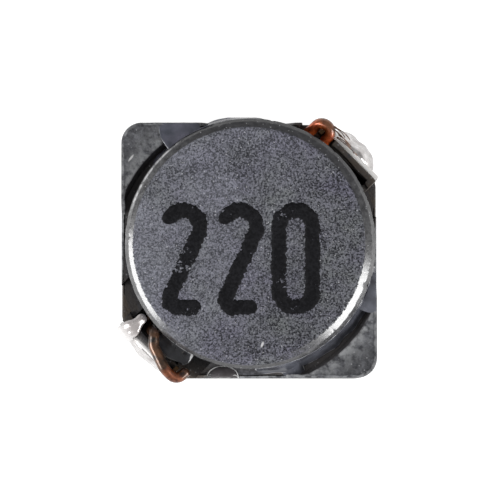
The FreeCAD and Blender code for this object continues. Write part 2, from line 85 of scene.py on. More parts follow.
def rounded_path(points, radii, steps, closed=False):
    """A path whose corners are arcs. Each arc's points are the two spokes from its centre,
    blended by the sines of the angles that are left and done."""
    points = np.asarray(points, float)
    radii = np.broadcast_to(np.asarray(radii, float), len(points) if closed else len(points) - 2)
    inner = points if closed else points[1:-1]
    before = unit(inner - (np.roll(points, 1, 0) if closed else points[:-2]))
    after = unit((np.roll(points, -1, 0) if closed else points[2:]) - inner)
    turn = np.arccos(np.clip((before * after).sum(-1), -1, 1))[:, None]
    cut = radii[:, None] * np.tan(turn / 2)
    start = inner - before * cut
    end = inner + after * cut
    centre = inner + unit(after - before + 1e-12) * (radii[:, None] / np.cos(turn / 2))
    share = np.linspace(0, 1, steps)[None, :, None]
    turn = np.maximum(turn, 1e-6)[:, None, :]
    left, done = np.sin((1 - share) * turn), np.sin(share * turn)
    spokes = (left * (start - centre)[:, None] + done * (end - centre)[:, None]) / np.sin(turn)
    path = (centre[:, None] + spokes).reshape(-1, points.shape[1])
    return path if closed else np.vstack([points[:1], path, points[-1:]])


def length_along(path):
    """The way along a path from its start to each of its points."""
    return np.concatenate([[0], np.cumsum(np.linalg.norm(np.diff(path, axis=0), axis=1))])


def points_at(path, places):
    """Points of a path at given ways along it."""
    length = length_along(path)
    return np.stack([np.interp(places, length, path[:, k]) for k in range(path.shape[1])], 1)


def evenly(path, spacing, closed=False):
    """The same path with points at even steps of its length."""
    path = np.vstack([path, path[:1]]) if closed else path
    whole = length_along(path)[-1]
    return points_at(path, np.linspace(0, whole, max(int(whole / spacing), 2)))


def turned(points, angle):
    """Points turned about the ring's upright axis."""
    x, y = points[..., 0], points[..., 1]
    spun = [x * math.cos(angle) - y * math.sin(angle), x * math.sin(angle) + y * math.cos(angle)]
    return np.stack(spun + [points[..., 2]], -1)


def new_object(name, data):
    """An object of the scene, at the origin, unturned and unscaled."""
    thing = bpy.data.objects.new(name, data)
    bpy.context.scene.collection.objects.link(thing)
    return thing


def put_piece(name, grids, closed, marks=None):
    """One mesh of several grids of points. A face joins each point with the next row and
    column; closed says whether the rows, and the columns, run round to the first again.
    Marks hold one value, or a value for each point, for every grid."""
    vertices, quads, base = [], [], 0
    for points in grids:
        rows, columns = points.shape[:2]
        row = np.arange(rows if closed[0] else rows - 1)
        column = np.arange(columns if closed[1] else columns - 1)
        i, j = np.meshgrid(row, column, indexing="ij")
        i_next, j_next = (i + 1) % rows, (j + 1) % columns
        corners = [
            i * columns + j, i * columns + j_next,
            i_next * columns + j_next, i_next * columns + j,
        ]
        quads.append(np.stack(corners, -1).reshape(-1, 4) + base)
        vertices.append(points.reshape(-1, 3))
        base += rows * columns
    vertices, quads = np.vstack(vertices), np.vstack(quads)
    mesh = bpy.data.meshes.new(name)
    mesh.from_pydata((vertices * MM).tolist(), [], quads.tolist())
    mesh.polygons.foreach_set("use_smooth", np.ones(len(quads), bool))
    for mark, values in (marks or {}).items():
        spread = [np.broadcast_to(value, grid.shape[:2]).ravel() for value, grid in zip(values, grids)]
        layer = mesh.attributes.new(mark, "FLOAT", "POINT")
        layer.data.foreach_set("value", np.concatenate(spread).astype(float))
    mesh.validate()
    return new_object(name, mesh)


def crisp(piece, angle=35):
    """Shades the piece smooth, but keeps edges sharper than an angle."""
    with bpy.context.temp_override(object=piece, active_object=piece, selected_editable_objects=[piece]):
        bpy.ops.object.shade_smooth_by_angle(angle=math.radians(angle))


def soft_noise(angles, most, fewest):
    """Smooth wear along a closed edge: sines with loose phases and whole numbers of waves
    between the fewest and the most."""
    sines = 14
    counts = dice.integers(fewest, most, sines)
    phases = dice.uniform(0, 2 * np.pi, sines)
    return np.sin(angles[:, None] * counts + phases).mean(1) * 2


def between(u, span, edge=0.012):
    """1 between two places across a cut corner and 0 outside, with a short slope at each."""
    rise = np.clip((u - span[0]) / edge + 0.5, 0, 1)
    fall = np.clip((span[1] - u) / edge + 0.5, 0, 1)
    return np.minimum(rise, fall)


def ring_columns():
    """Sections of half the ring, as inner and outer points in the cut corner's own frame.
    Across the cut corner they run parallel to its diagonal, and elsewhere they fan out."""
    cut = CUT_REACH * math.sqrt(2) - HALF_SIDE
    loop = np.array([
        (HALF_SIDE, -HALF_SIDE), (HALF_SIDE, cut), (cut, HALF_SIDE),
        (-HALF_SIDE, HALF_SIDE), (-HALF_SIDE, -cut), (-cut, -HALF_SIDE),
    ])
    rounds = [CORNER_ROUND, CUT_ROUND, CUT_ROUND] * 2
    outline = evenly(rounded_path(loop, rounds, 16, closed=True), 0.004, closed=True)
    outline = turned(np.pad(outline, ((0, 0), (0, 1))), -CUT_TURN)
    angle = np.arctan2(outline[:, 1], outline[:, 0])
    near = outline[np.abs(angle) < math.radians(91)]
    near = near[np.argsort(np.arctan2(near[:, 1], near[:, 0]))]
    near_angle = np.arctan2(near[:, 1], near[:, 0])
    reach = np.hypot(near[:, 0], near[:, 1])

    zone = 1.7
    slopes = np.array([-0.006, -0.003, 0, 0.003, 0.006])
    edges = np.array([*POCKET, *NOTCH, *RELIEF])
    u = np.unique(np.concatenate([np.arange(-zone, zone, 0.035), (edges[:, None] + slopes).ravel()]))
    inner_turn = np.arcsin(u / BORE_RADIUS)
    outer = np.stack([np.interp(u, near[:, 1], near[:, 0]), u], 1)
    share = np.linspace(0, 1, 96)[1:]
    first_in, first_out = inner_turn[-1], math.atan2(outer[-1, 1], outer[-1, 0])
    plain_in = first_in + (math.pi / 2 - first_in) * share
    plain_out = first_out + (math.pi / 2 - first_out) * share
    turns_in = np.concatenate([-plain_in[::-1], inner_turn, plain_in[:-1]])
    turns_out = np.concatenate([-plain_out[::-1], plain_out[:-1]])
    rays = np.stack([np.cos(turns_out), np.sin(turns_out)], 1)
    spokes = np.interp(turns_out, near_angle, reach)[:, None] * rays
    outer = np.vstack([spokes[:len(plain_out)], outer, spokes[len(plain_out):]])
    inner = BORE_RADIUS * np.stack([np.cos(turns_in), np.sin(turns_in)], 1)
    return inner, outer


def ring_surface():
    """The ring as a closed profile carried round: bore, pocket or ledge, wall of the seat,
    post or lowered wall, outer face and underside. Its heights follow the place u across
    the corner, and its distances are shares of the way from the bore to the outline. Marks
    say where shade is painted in the gap, where it is soiled by flux, and where the posts'
    edges and the outline are lighter with wear and a painted highlight."""
    inner, outer = ring_columns()
    way = outer - inner
    length = np.linalg.norm(way, axis=1)
    u = outer[:, 1]

    def share_at(radius):
        """Share of the way at which a section crosses a circle."""
        a, b = (way ** 2).sum(1), 2 * (inner * way).sum(1)
        c = (inner ** 2).sum(1) - radius ** 2
        return (-b + np.sqrt(b * b - 4 * a * c)) / (2 * a)

    pocket, notch, relief = between(u, POCKET), between(u, NOTCH), between(u, RELIEF)
    opened = np.maximum(notch, relief)
    ledge = SEAT_LEVEL + (EXIT_FLOOR - SEAT_LEVEL) * opened
    floor = ledge + (POCKET_FLOOR - ledge) * pocket
    height = RING_TOP - (RING_TOP - WALL_TOP) * between(u, LOW_WALL)
    room = np.clip((1 - share_at(SEAT_RADIUS)) * length, 0, None)
    height = np.minimum(height, SEAT_LEVEL + room * (RING_TOP - SEAT_LEVEL) / SEAT_FLARE)
    height = height + (EXIT_FLOOR - height) * opened

    turn = np.linspace(0, np.pi, len(u), endpoint=False)
    uneven = 1 + 0.35 * soft_noise(2 * turn, 40, 5)
    standing = np.clip((height - ledge) / (RING_TOP - SEAT_LEVEL), 0.25, 1)
    seat_edge = SEAT_EDGE * uneven * standing
    side_edge = SIDE_EDGE * (1 + 0.3 * soft_noise(2 * turn, 60, 8))
    side_edge = np.minimum(side_edge, 0.45 * np.maximum(height - SEAT_LEVEL, 0.12))
    wall = (WALL_INNER - inner[:, 0]) / np.where(np.abs(way[:, 0]) < 1e-6, 1, way[:, 0])
    step = np.where(pocket > 0.02, wall, 0.55 * share_at(SEAT_RADIUS))
    seat = np.clip(np.maximum(share_at(SEAT_RADIUS), step + 0.001), 0, 0.995 - side_edge / length)
    rise = np.clip(height - ledge, 0, None)
    lean = SEAT_FLARE * rise / (RING_TOP - SEAT_LEVEL) / length
    limit = 1 - side_edge / length
    back = np.clip(seat + lean, 0, limit)
    near_limit = limit - 0.03 / length
    top = np.clip(back + seat_edge / length, 0, near_limit)
    soft = 0.3
    zeros, ones = np.zeros_like(u), np.ones_like(u)
    lip = np.minimum(seat_edge, rise)
    profile = [
        (zeros, zeros + RING_BOTTOM + LOW_EDGE),
        (zeros, floor - 0.03),
        (0.03 / length, floor),
        (np.minimum(step, seat), floor),
        (np.minimum(step, seat), ledge),
        (seat, ledge),
        (back, height - lip),
        (back + soft * (top - back), height - soft * lip),
        (top, height),
        (np.minimum(top + 0.22 / length, near_limit), height),
        (near_limit, height),
        (limit, height),
        (1 - soft * side_edge / length, height - soft * side_edge),
        (ones, height - side_edge),
        (ones, height - side_edge - 0.03),
        (ones, zeros + RING_BOTTOM + LOW_EDGE),
        (1 - soft * LOW_EDGE / length, zeros + RING_BOTTOM + soft * LOW_EDGE),
        (1 - LOW_EDGE / length, zeros + RING_BOTTOM),
        (LOW_EDGE / length, zeros + RING_BOTTOM),
    ]
    shares, heights = (np.stack(values) for values in zip(*profile))
    flat = inner + shares[..., None] * way
    half = np.concatenate([flat, heights[..., None]], -1)

    post = np.clip((height - ledge) / (RING_TOP - SEAT_LEVEL) * 2, 0, 1)
    points = np.concatenate([turned(half, CUT_TURN), turned(half, CUT_TURN + math.pi)], 1)
    # Painted shade: the ledge, the seat's wall and the ring close to the disc's rim are marked to be
    # painted nearly black.
    shaded = np.zeros_like(heights)
    shaded[3:6] = np.maximum(post, opened)
    shaded[6] = 0.9 * post
    shaded[7] = 0.4 * post
    shaded = np.tile(shaded, 2)
    off_disc = np.hypot(points[..., 0] - DRUM_X, points[..., 1] - DRUM_Y) - DISC_RADIUS
    near_disc = np.exp(-((np.maximum(off_disc, 0) / 0.06) ** 2))
    shaded[:6] = np.maximum(shaded[:6], near_disc[:6])
    clean = 1 - between(u, FLUXED, 0.3)
    soiled = np.zeros_like(heights)
    soiled[4:14] = between(u, FLUXED, 0.5)
    soiled[4:6] = np.maximum(soiled[4:6], 0.5)
    # Wear and a painted highlight: the posts' inner edges and the outline are marked to be painted
    # lighter.
    edge_wear_and_highlight = np.zeros_like(heights)
    edge_wear_and_highlight[7:9] = post * clean
    edge_wear_and_highlight[9] = 0.35 * post * clean
    edge_wear_and_highlight[10:14] = (1 - 0.3 * post) * clean
    edge_wear_and_highlight[10] *= 1 - post
    return points, {"shaded": [shaded], "soiled": [np.tile(soiled, 2)], "edge_wear_and_highlight": [np.tile(edge_wear_and_highlight, 2)]}


ring_points, ring_marks = ring_surface()
ring = put_piece("shield_ring_body", [ring_points], (True, True), ring_marks)
crisp(ring)
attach(ring, "root")
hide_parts("shield_ring")


# Ferrite finish: pressed powder, sintered dull grey with a blue tint. Grains of 0.05 mm
# to 0.07 mm catch the light one by one, and a few specks are bright or pitted.
def plug(socket, value):
    """Links another socket to a socket, or sets the socket's own number or colour."""
    if isinstance(value, bpy.types.NodeSocket):
        socket.id_data.links.new(value, socket)
    else:
        socket.default_value = value


def fill(node, **settings):
    """A shader node with its sockets and properties set by their names."""
    for name, value in settings.items():
        socket = node.inputs.get(name.replace("_", " "))
        if socket is None:
            setattr(node, name, value)
        else:
            plug(socket, value)
    return node


def add_node(tree, kind, **settings):
    """A new shader node, filled in."""
    return fill(tree.nodes.new(kind), **settings)


def in_millimetres(tree, centre=(0, 0, 0)):
    """The piece's own coordinates, in millimetres from a centre."""
    own = add_node(tree, "ShaderNodeTexCoord").outputs["Object"]
    shift = [-c for c in centre]
    mapping = add_node(tree, "ShaderNodeMapping", Vector=own, Scale=(1 / MM,) * 3, Location=shift)
    return mapping.outputs["Vector"]


def stretch(value, low, high, to_low=0.0, to_high=1.0):
    """A value's range carried to another range, and held at its ends."""
    node = add_node(
        value.id_data, "ShaderNodeMapRange", Value=value,
        From_Min=low, From_Max=high, To_Min=to_low, To_Max=to_high,
    )
    return node.outputs["Result"]


def combine(operation, first, second=0.0):
    """An operation on two values or numbers, of which at least one is a shader value."""
    tree = (second if isinstance(first, float) else first).id_data
    node = add_node(tree, "ShaderNodeMath", operation=operation)
    plug(node.inputs[0], first)
    plug(node.inputs[1], second)
    return node.outputs["Value"]


def times(first, second):
    """The product of two values or numbers."""
    return combine("MULTIPLY", first, second)


def tint(factor, dark, light):
    """A colour between two colours, by a factor."""
    node = add_node(factor.id_data, "ShaderNodeMix", data_type="RGBA", Factor=factor)
    for socket, colour in zip(node.inputs[6:8], (dark, light)):
        plug(socket, (*colour, 1) if isinstance(colour, tuple) else colour)
    return node.outputs[2]


def noise(place, scale, detail, roughness=0.5):
    """Clouds from 0 to 1. Their scale is how many of them lie in a millimetre."""
    node = add_node(place.id_data, "ShaderNodeTexNoise", Vector=place, Scale=scale)
    return fill(node, Detail=detail, Roughness=roughness).outputs["Fac"]


def grain_group():
    """Pressed grain. Shade is the grains' lightness, Speck marks single bright grains and
    Height holds grains and shallow pits. Grain is a grain's size in millimetres."""
    group = bpy.data.node_groups.new("pressed_grain", "ShaderNodeTree")
    group.interface.new_socket("Vector", in_out="INPUT", socket_type="NodeSocketVector")
    for label, value in (("Grain", 0.06), ("Pitting", 0.5)):
        socket = group.interface.new_socket(label, in_out="INPUT", socket_type="NodeSocketFloat")
        socket.default_value = value
    for label in ("Shade", "Speck", "Height"):
        group.interface.new_socket(label, in_out="OUTPUT", socket_type="NodeSocketFloat")
    given = group.nodes.new("NodeGroupInput").outputs
    per_mm = combine("DIVIDE", 1.0, given["Grain"])
    fine = noise(given["Vector"], times(per_mm, 1.2), 1.5, 0.6)
    broad = noise(given["Vector"], 1.3, 4.0, 0.6)
    cells = add_node(group, "ShaderNodeTexVoronoi", feature="F1", Randomness=1.0)
    cells = fill(cells, Vector=given["Vector"], Scale=per_mm).outputs
    split = add_node(group, "ShaderNodeSeparateColor", Color=cells["Color"]).outputs
    tone = combine("ADD", stretch(fine, 0.36, 0.64, 0.0, 0.48), times(split["Blue"], 0.52))
    drift = stretch(broad, 0.3, 0.7, -0.12, 0.12)
    shade = stretch(combine("ADD", tone, drift), 0.24, 0.80)
    near = stretch(cells["Distance"], 0.14, 0.42, 1.0, 0.0)
    rare = stretch(split["Red"], 0.93, 0.98)
    pitted = stretch(split["Green"], 0.93, 0.95)
    height = combine("SUBTRACT", shade, times(times(near, pitted), given["Pitting"]))
    fill(group.nodes.new("NodeGroupOutput"), Shade=shade, Speck=times(near, rare), Height=height)
    return group


pressed_grain = grain_group()


def grains(place, size, pitting):
    """What the pressed grain gives at a place, for a grain's size in millimetres."""
    node = add_node(place.id_data, "ShaderNodeGroup", node_tree=pressed_grain)
    return fill(node, Vector=place, Grain=size, Pitting=pitting).outputs


def new_material(name, **settings):
    """A material, its node tree and its Principled BSDF with plain numbers set."""
    material = bpy.data.materials.new(name)
    material.use_nodes = True
    shader = fill(material.node_tree.nodes["Principled BSDF"], **settings)
    return material, material.node_tree, shader


def raise_bump(shader, height, depth):
    """Bump from a height from 0 to 1, whose full depth is given in millimetres."""
    bump = add_node(shader.id_data, "ShaderNodeBump", Height=height, Strength=1.0, Distance=depth * MM)
    fill(shader, Normal=bump.outputs["Normal"])


def mark_of(tree, name):
    """A mark that the mesh carries on its points."""
    return add_node(tree, "ShaderNodeAttribute", attribute_name=name).outputs["Fac"]


def chip(place, x, y, turn, long, wide):
    """1 in a small oval spot on a flat top, where the surface is chipped, else 0. The
    spot's own height is so great that only the place on the top counts."""
    tree = place.id_data
    spot = add_node(tree, "ShaderNodeMapping", vector_type="TEXTURE", Vector=place, Location=(x, y, 0))
    fill(spot, Rotation=(0, 0, math.radians(turn)), Scale=(long, wide, 1000))
    away = add_node(tree, "ShaderNodeVectorMath", operation="LENGTH", Vector=spot.outputs["Vector"])
    return stretch(away.outputs["Value"], 0.3, 0.6, 1.0, 0.0)


def ring_material():
    """Grey ferrite, blotched where hands and flux went, lighter at the posts' edges and the
    outline with wear and a painted highlight, and painted nearly black with shade down in the gap."""
    material, tree, shader = new_material("ring_ferrite", IOR=1.5, Specular_IOR_Level=0.35)
    place = in_millimetres(tree)
    grain = grains(place, 0.06, 0.5)
    clouds = noise(place, 2.2, 6.0, 0.7)
    scuffs = noise(place, 6.0, 3.0)
    fine = tint(grain["Shade"], (0.018, 0.018, 0.021), (0.040, 0.041, 0.046))
    blotch = tint(grain["Shade"], (0.050, 0.051, 0.057), (0.106, 0.108, 0.120))
    base = tint(stretch(clouds, 0.40, 0.62), fine, blotch)
    # Wear and a painted highlight lighten the marked edges.
    edge_wear_and_highlight = times(times(mark_of(tree, "edge_wear_and_highlight"), 0.85), stretch(scuffs, 0.38, 0.60))
    base = tint(edge_wear_and_highlight, base, (0.275, 0.280, 0.288))
    soiled = times(mark_of(tree, "soiled"), stretch(clouds, 0.34, 0.52))
    base = tint(soiled, base, (0.056, 0.044, 0.034))
    # Painted shade: nearly black where the mark says the gap lies.
    shaded = times(mark_of(tree, "shaded"), 0.78)
    base = tint(shaded, base, (0.038, 0.035, 0.035))
    chipped = chip(place, -2.77, 2.16, 52, 0.20, 0.05)
    base = tint(chipped, base, (0.42, 0.42, 0.42))
    base = tint(grain["Speck"], base, (0.22, 0.22, 0.23))
    fill(shader, Base_Color=base, Roughness=stretch(scuffs, 0.3, 0.7, 0.46, 0.66))
    raise_bump(shader, grain["Height"], 0.004)
    return material


ring.data.materials.append(ring_material())


# Drum core: a turned ferrite spool, ground flat on top with a bevel round the disc's
# rim. It is glued in a little off centre, towards the back.
DISC_TOP = drum_high.z / MM
DISC_EDGE = 0.08
RIM_TOP = DISC_TOP - 0.225
BEVEL_FOOT = DISC_TOP - 0.105
FLANGE_BOTTOM = drum_low.z / MM
FLANGE_TOP = FLANGE_BOTTOM + 0.54
FLANGE_RADIUS = 2.497
NECK_RADIUS = 1.25
BEVEL_WIDE = 0.25
BEVEL_SLOPE = 0.58
RIM_WIDE = 0.08
FACE_SHIFT = 0.035
NICKS = 30
INK_THICK = 0.005
FACE_LEVEL = DISC_TOP - INK_THICK


def drum_profile():
    """Half section of the drum from the underside's middle to the top face's middle, with
    close points on the bevel and the rim."""
    corners = np.array([
        (0, FLANGE_BOTTOM), (FLANGE_RADIUS, FLANGE_BOTTOM), (FLANGE_RADIUS, FLANGE_TOP),
        (NECK_RADIUS, FLANGE_TOP), (NECK_RADIUS, SEAT_LEVEL),
        (DISC_RADIUS - DISC_EDGE, SEAT_LEVEL), (DISC_RADIUS, SEAT_LEVEL + DISC_EDGE),
        (DISC_RADIUS, RIM_TOP), (DISC_RADIUS - RIM_WIDE, BEVEL_FOOT),
        (DISC_RADIUS - BEVEL_WIDE, FACE_LEVEL), (0, FACE_LEVEL),
    ])
    radii = [0.04, 0.04, 0.08, 0.08, 0.03, 0.03, 0.05, 0.04, 0.04]
    path = rounded_path(corners, radii, 5)
    fine = np.arange(0, length_along(path)[-1], 0.012)
    radius, level = points_at(path, fine).T
    rim = (radius > DISC_RADIUS - BEVEL_WIDE - 0.06) & (level > DISC_TOP - 0.40)
    places = np.unique(np.concatenate([length_along(path), fine[rim]]))
    return points_at(path, places[np.append(True, np.diff(places) > 0.002)])


def drum_surface():
    """The profile spun about the drum's axis. Nicks and loose waves eat into the rim, and
    the ground face lies a little to the left of the rim's centre. The mark says where the
    surface is bevel or rim and no longer face."""
    profile = drum_profile()
    turn = np.linspace(0, 2 * np.pi, 720, endpoint=False)
    radius, level = (values[:, None] + 0 * turn for values in profile.T)
    upper = level > SEAT_LEVEL + 0.3
    rim = np.exp(-(((radius - DISC_RADIUS + 0.03) / 0.07) ** 2)) * upper
    waves = 0.004 * soft_noise(turn, 50, 10) + 0.0015 * soft_noise(turn, 260, 90)
    nicks = np.zeros_like(turn)
    places = dice.uniform(0, 2 * np.pi, NICKS)
    widths = dice.uniform(0.006, 0.02, NICKS)
    depths = dice.uniform(0.003, 0.018, NICKS)
    for place, wide, deep in zip(places, widths, depths):
        away = (turn - place + np.pi) % (2 * np.pi) - np.pi
        nicks += deep * np.exp(-((away / wide) ** 2))
    radius = radius - rim * (nicks + waves)
    level = level - rim * (0.5 * nicks + 0.5 * waves)
    x = DRUM_X + radius * np.cos(turn)
    y = DRUM_Y + radius * np.sin(turn)
    ragged = 0.008 * soft_noise(turn, 300, 60)
    near_top = np.clip((level - DISC_TOP + 0.36) / 0.12, 0, 1)
    bevel = np.clip((radius - DISC_RADIUS + BEVEL_WIDE - 0.012 + ragged) / 0.05, 0, 1) * near_top
    down_bevel = np.clip((radius - DISC_RADIUS + BEVEL_WIDE) / (BEVEL_WIDE - RIM_WIDE), 0, 1)
    x = x - FACE_SHIFT * (1 - down_bevel) * near_top
    level = level - BEVEL_SLOPE * FACE_SHIFT * np.cos(turn) * down_bevel * near_top
    return np.stack([x, y, np.minimum(level, DISC_TOP)], -1), bevel


drum_points, drum_bevel = drum_surface()
drum = put_piece("drum_core_body", [drum_points], (False, True), {"bevel": [drum_bevel]})
crisp(drum)
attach(drum, "root")
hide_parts("drum_core")


def drum_material():
    """Grainy face, with a hazy film and painted light that both grow towards the left. The
    bevel is polished by handling, but dull at the back and the front, where painted shade
    darkens it, and a painted highlight runs along its rim at the back left."""
    material, tree, shader = new_material(
        "drum_ferrite", Specular_IOR_Level=0.3, Coat_IOR=1.8, Coat_Roughness=0.21,
    )
    place = in_millimetres(tree, (DRUM_X, DRUM_Y, 0))
    split = add_node(tree, "ShaderNodeSeparateXYZ", Vector=place).outputs
    x, y = split["X"], split["Y"]
    flat = add_node(tree, "ShaderNodeVectorMath", operation="MULTIPLY", Vector=place)
    plug(flat.inputs[1], (1, 1, 0))
    away = add_node(tree, "ShaderNodeVectorMath", operation="LENGTH", Vector=flat.outputs["Vector"])
    radius = away.outputs["Value"]
    grain = grains(place, 0.043, 0.7)
    cloud = noise(place, 0.8, 4.0, 0.6)
    rubbed = noise(place, 7.0, 5.0, 0.7)

    # Painted light: the face is painted lighter and bluer towards the left, together with a hazy film.
    lighter_to_left = stretch(combine("SUBTRACT", x, times(y, 0.35)), -3.2, 1.4, 1.0, 0.04)
    haze_and_left_light = times(lighter_to_left, stretch(cloud, 0.30, 0.62))
    violet = stretch(cloud.node.outputs["Color"], 0.40, 0.60)
    light = tint(violet, (0.145, 0.153, 0.158), (0.147, 0.143, 0.190))
    base = tint(grain["Shade"], (0.003, 0.003, 0.006), light)
    film = tint(grain["Shade"], (0.088, 0.091, 0.107), (0.240, 0.247, 0.286))
    base = tint(haze_and_left_light, base, film)

    polish_and_shade = tint(stretch(rubbed, 0.36, 0.66), (0.012, 0.012, 0.014), (0.115, 0.115, 0.120))
    # Painted shade: the bevel's colour is painted darker at the back and at the front.
    at_back = stretch(combine("ADD", y, times(x, 0.3)), 0.7, 2.4, 0.0, 0.7)
    polish_and_shade = tint(at_back, polish_and_shade, (0.036, 0.036, 0.039))
    frontness = combine("SUBTRACT", times(x, -0.17), y)
    at_front = stretch(frontness, 2.25, 2.70)
    polish_and_shade = tint(times(at_front, 0.6), polish_and_shade, (0.030, 0.030, 0.033))
    ragged = times(grain["Shade"], 0.45)
    bevel = stretch(combine("ADD", mark_of(tree, "bevel"), ragged), 0.60, 0.80)
    inside = stretch(radius, DISC_RADIUS - 0.09, DISC_RADIUS - 0.06, 1.0, 0.0)
    dull = times(stretch(frontness, 1.9, 2.6, 0.0, 0.95), inside)
    bevel = times(bevel, combine("SUBTRACT", 1.0, dull))
    base = tint(bevel, base, polish_and_shade)

    # Painted highlight: a light line painted along the rim's rounded edge at the back left.
    off_rim = combine("ABSOLUTE", combine("SUBTRACT", radius, DISC_RADIUS - 0.045))
    at_back_left = stretch(combine("ADD", times(x, -0.82), times(y, 0.57)), 2.68, 2.80)
    rim_highlight = times(stretch(off_rim, 0.008, 0.030, 1.0, 0.0), at_back_left)
    rim_highlight = times(rim_highlight, stretch(rubbed, 0.40, 0.56, 0.25, 1.0))
    base = tint(rim_highlight, base, (0.62, 0.62, 0.63))
    front_chip = chip(place, 0.28, -2.37, 68, 0.15, 0.06)
    face_chip = chip(place, -0.03, -1.64, 0, 0.08, 0.07)
    base = tint(combine("MAXIMUM", front_chip, face_chip), base, (0.52, 0.52, 0.53))
    base = tint(grain["Speck"], base, (0.40, 0.40, 0.42))
    coat = times(bevel, stretch(at_back, 0, 0.7, 1.0, 0.05))
    coat = times(coat, stretch(at_front, 0, 1, 1.0, 0.35))
    fill(shader, Base_Color=base, Roughness=stretch(bevel, 0, 1, 0.66, 0.27), Coat_Weight=coat)
    raise_bump(shader, times(grain["Height"], stretch(bevel, 0, 1, 1.0, 0.15)), 0.006)
    return material


drum.data.materials.append(drum_material())


# Marking: three plain digits stamped on the top face in thin black ink. Its edges creep
# along the grain, and worn spots let the ferrite through.
INK_STROKE = 0.36
INK_HEIGHT = 2.62
INK_LEFT = -1.92
INK_FOOT = -1.35


def digit_two(wide, high):
    """Centre line of a 2: an open bow, a slant and a foot."""
    bow = np.linspace(math.radians(170), math.radians(-20), 40)
    r = wide / 2
    top = np.stack([r + r * np.cos(bow), high - r + r * np.sin(bow)], 1)
    slant = rounded_path([top[-1], (-0.04, 0), (wide + 0.02, 0)], 0.185, 40)
    return np.vstack([top, slant[1:]])


def digit_zero(wide, high):
    """Centre line of a 0: an upright loop with round ends."""
    corners = np.array([(0, 0), (wide, 0), (wide, high), (0, high)])
    loop = rounded_path(corners, wide * 0.49, 48, closed=True)
    return np.vstack([loop, loop[:1]])


def heading(path):
    """Directions along a flat path, and to its left."""
    ahead = unit(np.gradient(path, axis=0))
    return ahead, np.stack([-ahead[:, 1], ahead[:, 0]], 1)


def ink_ribbon(line, left, closed=False):
    """A flat stroke: the centre line moved to both sides by half the stroke's width. Its
    edges wander with the grain and its ends are round. Columns run along the stroke."""
    line = evenly(line, 0.012)
    ahead, side = heading(line)
    across = np.array([-1, -0.97, -0.5, 0, 0.5, 0.97, 1])[:, None]
    place = np.arange(len(line)) * 0.012
    to_end = np.minimum(place, place[::-1])
    creep = [np.convolve(dice.normal(0, 1, len(line) + 4), np.ones(5) / 5, "valid") for _ in range(2)]
    creep = [values * 0.030 * np.clip(to_end / 0.1, 0, 1) for values in creep]
    half = INK_STROKE / 2
    blunt = 1 if closed else np.sqrt(1 - (1 - np.clip(to_end / half, 0.02, 1)) ** 2)
    half = half * blunt + np.where(across < 0, creep[0], creep[1])
    flat = line[None] + (across * half)[..., None] * side[None]
    level = np.where(np.abs(across) > 0.99, FACE_LEVEL - 0.002, DISC_TOP - 0.0005) + 0 * half
    return np.stack([INK_LEFT + left + flat[..., 0], INK_FOOT + flat[..., 1], level], -1)


DIGIT_WIDTH = 0.78
DIGIT_STEP = 1.31
digit_high = INK_HEIGHT - INK_STROKE
ribbons = [
    ink_ribbon(digit_two(DIGIT_WIDTH, digit_high), 0),
    ink_ribbon(digit_two(DIGIT_WIDTH, digit_high), DIGIT_STEP),
    ink_ribbon(digit_zero(DIGIT_WIDTH, digit_high), 2 * DIGIT_STEP, closed=True),
]
marking = put_piece("stamped_digits", ribbons, (False, False))
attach(marking, "root")


def ink_material():
    """Black ink, thin over the grains, with worn spots cut out of it."""
    material, tree, shader = new_material("stamping_ink", IOR=1.5, Specular_IOR_Level=0.12)
    place = in_millimetres(tree, (DRUM_X, DRUM_Y, 0))
    grain = grains(place, 0.062, 0.3)
    wear = noise(place, 7.0, 4.0, 0.7)
    patch = noise(place, 1.1, 1.0)
    holes = combine("ADD", wear, stretch(patch, 0.35, 0.65, -0.10, 0.075))
    base = tint(grain["Shade"], (0.003, 0.003, 0.004), (0.010, 0.010, 0.012))
    fill(shader, Base_Color=base, Roughness=stretch(wear, 0.3, 0.7, 0.5, 0.7))
    fill(shader, Alpha=stretch(holes, 0.635, 0.69, 1.0, 0.0))
    raise_bump(shader, grain["Height"], 0.003)
    return material


marking.data.materials.append(ink_material())


# Winding: one enamelled copper wire, wound in two layers on the drum's post. Its two
# ends come out of the lead pockets at the cut corners and wrap round the hooks. The
# heat of soldering browned them, lead B's darker brown near the disc is partly painted
# shade, and at the back right burnt enamel curls off.
WIRE_RADIUS = 0.13
WIRE_PITCH = 0.27
INNER_TURN = 1.39
OUTER_TURN = INNER_TURN + WIRE_PITCH
HIGHEST_TURN = 1.96
WRAP_LEVEL = 2.23


def corner_points(points, opposite=False):
    """Points given as out, aside and up at a cut corner, in the ring's own frame."""
    return turned(np.array(points, float), CUT_TURN + (math.pi if opposite else 0))


def round_drum(distance, turn, level):
    """Points at distances from the drum's axis, at angles round it and at levels."""
    distance, turn, level = np.broadcast_arrays(distance, turn, level)
    return np.stack([DRUM_X + distance * np.cos(turn), DRUM_Y + distance * np.sin(turn), level], -1)


def coil_part(start, turns, radius, level, climb=0.0, growth=0.0):
    """Turns of the coil: each lies flat for half a turn and steps over in the other half."""
    count = np.linspace(0, turns, max(int(turns * 90), 8))
    whole = np.floor(count + 1e-9)
    step = np.clip(2 * (count - whole) - 1, 0, 1)
    step = whole + step * step * (3 - 2 * step)
    angle = start + count * 2 * np.pi
    return round_drum(radius + growth * count / turns, angle, level + climb * step)


def leaving_turn(target, radius, forward):
    """Angle on the coil from which a tangent reaches a point outside it."""
    away = math.atan2(target[1] - DRUM_Y, target[0] - DRUM_X)
    swing = math.acos(radius / math.hypot(target[0] - DRUM_X, target[1] - DRUM_Y))
    return away - swing if forward else away + swing


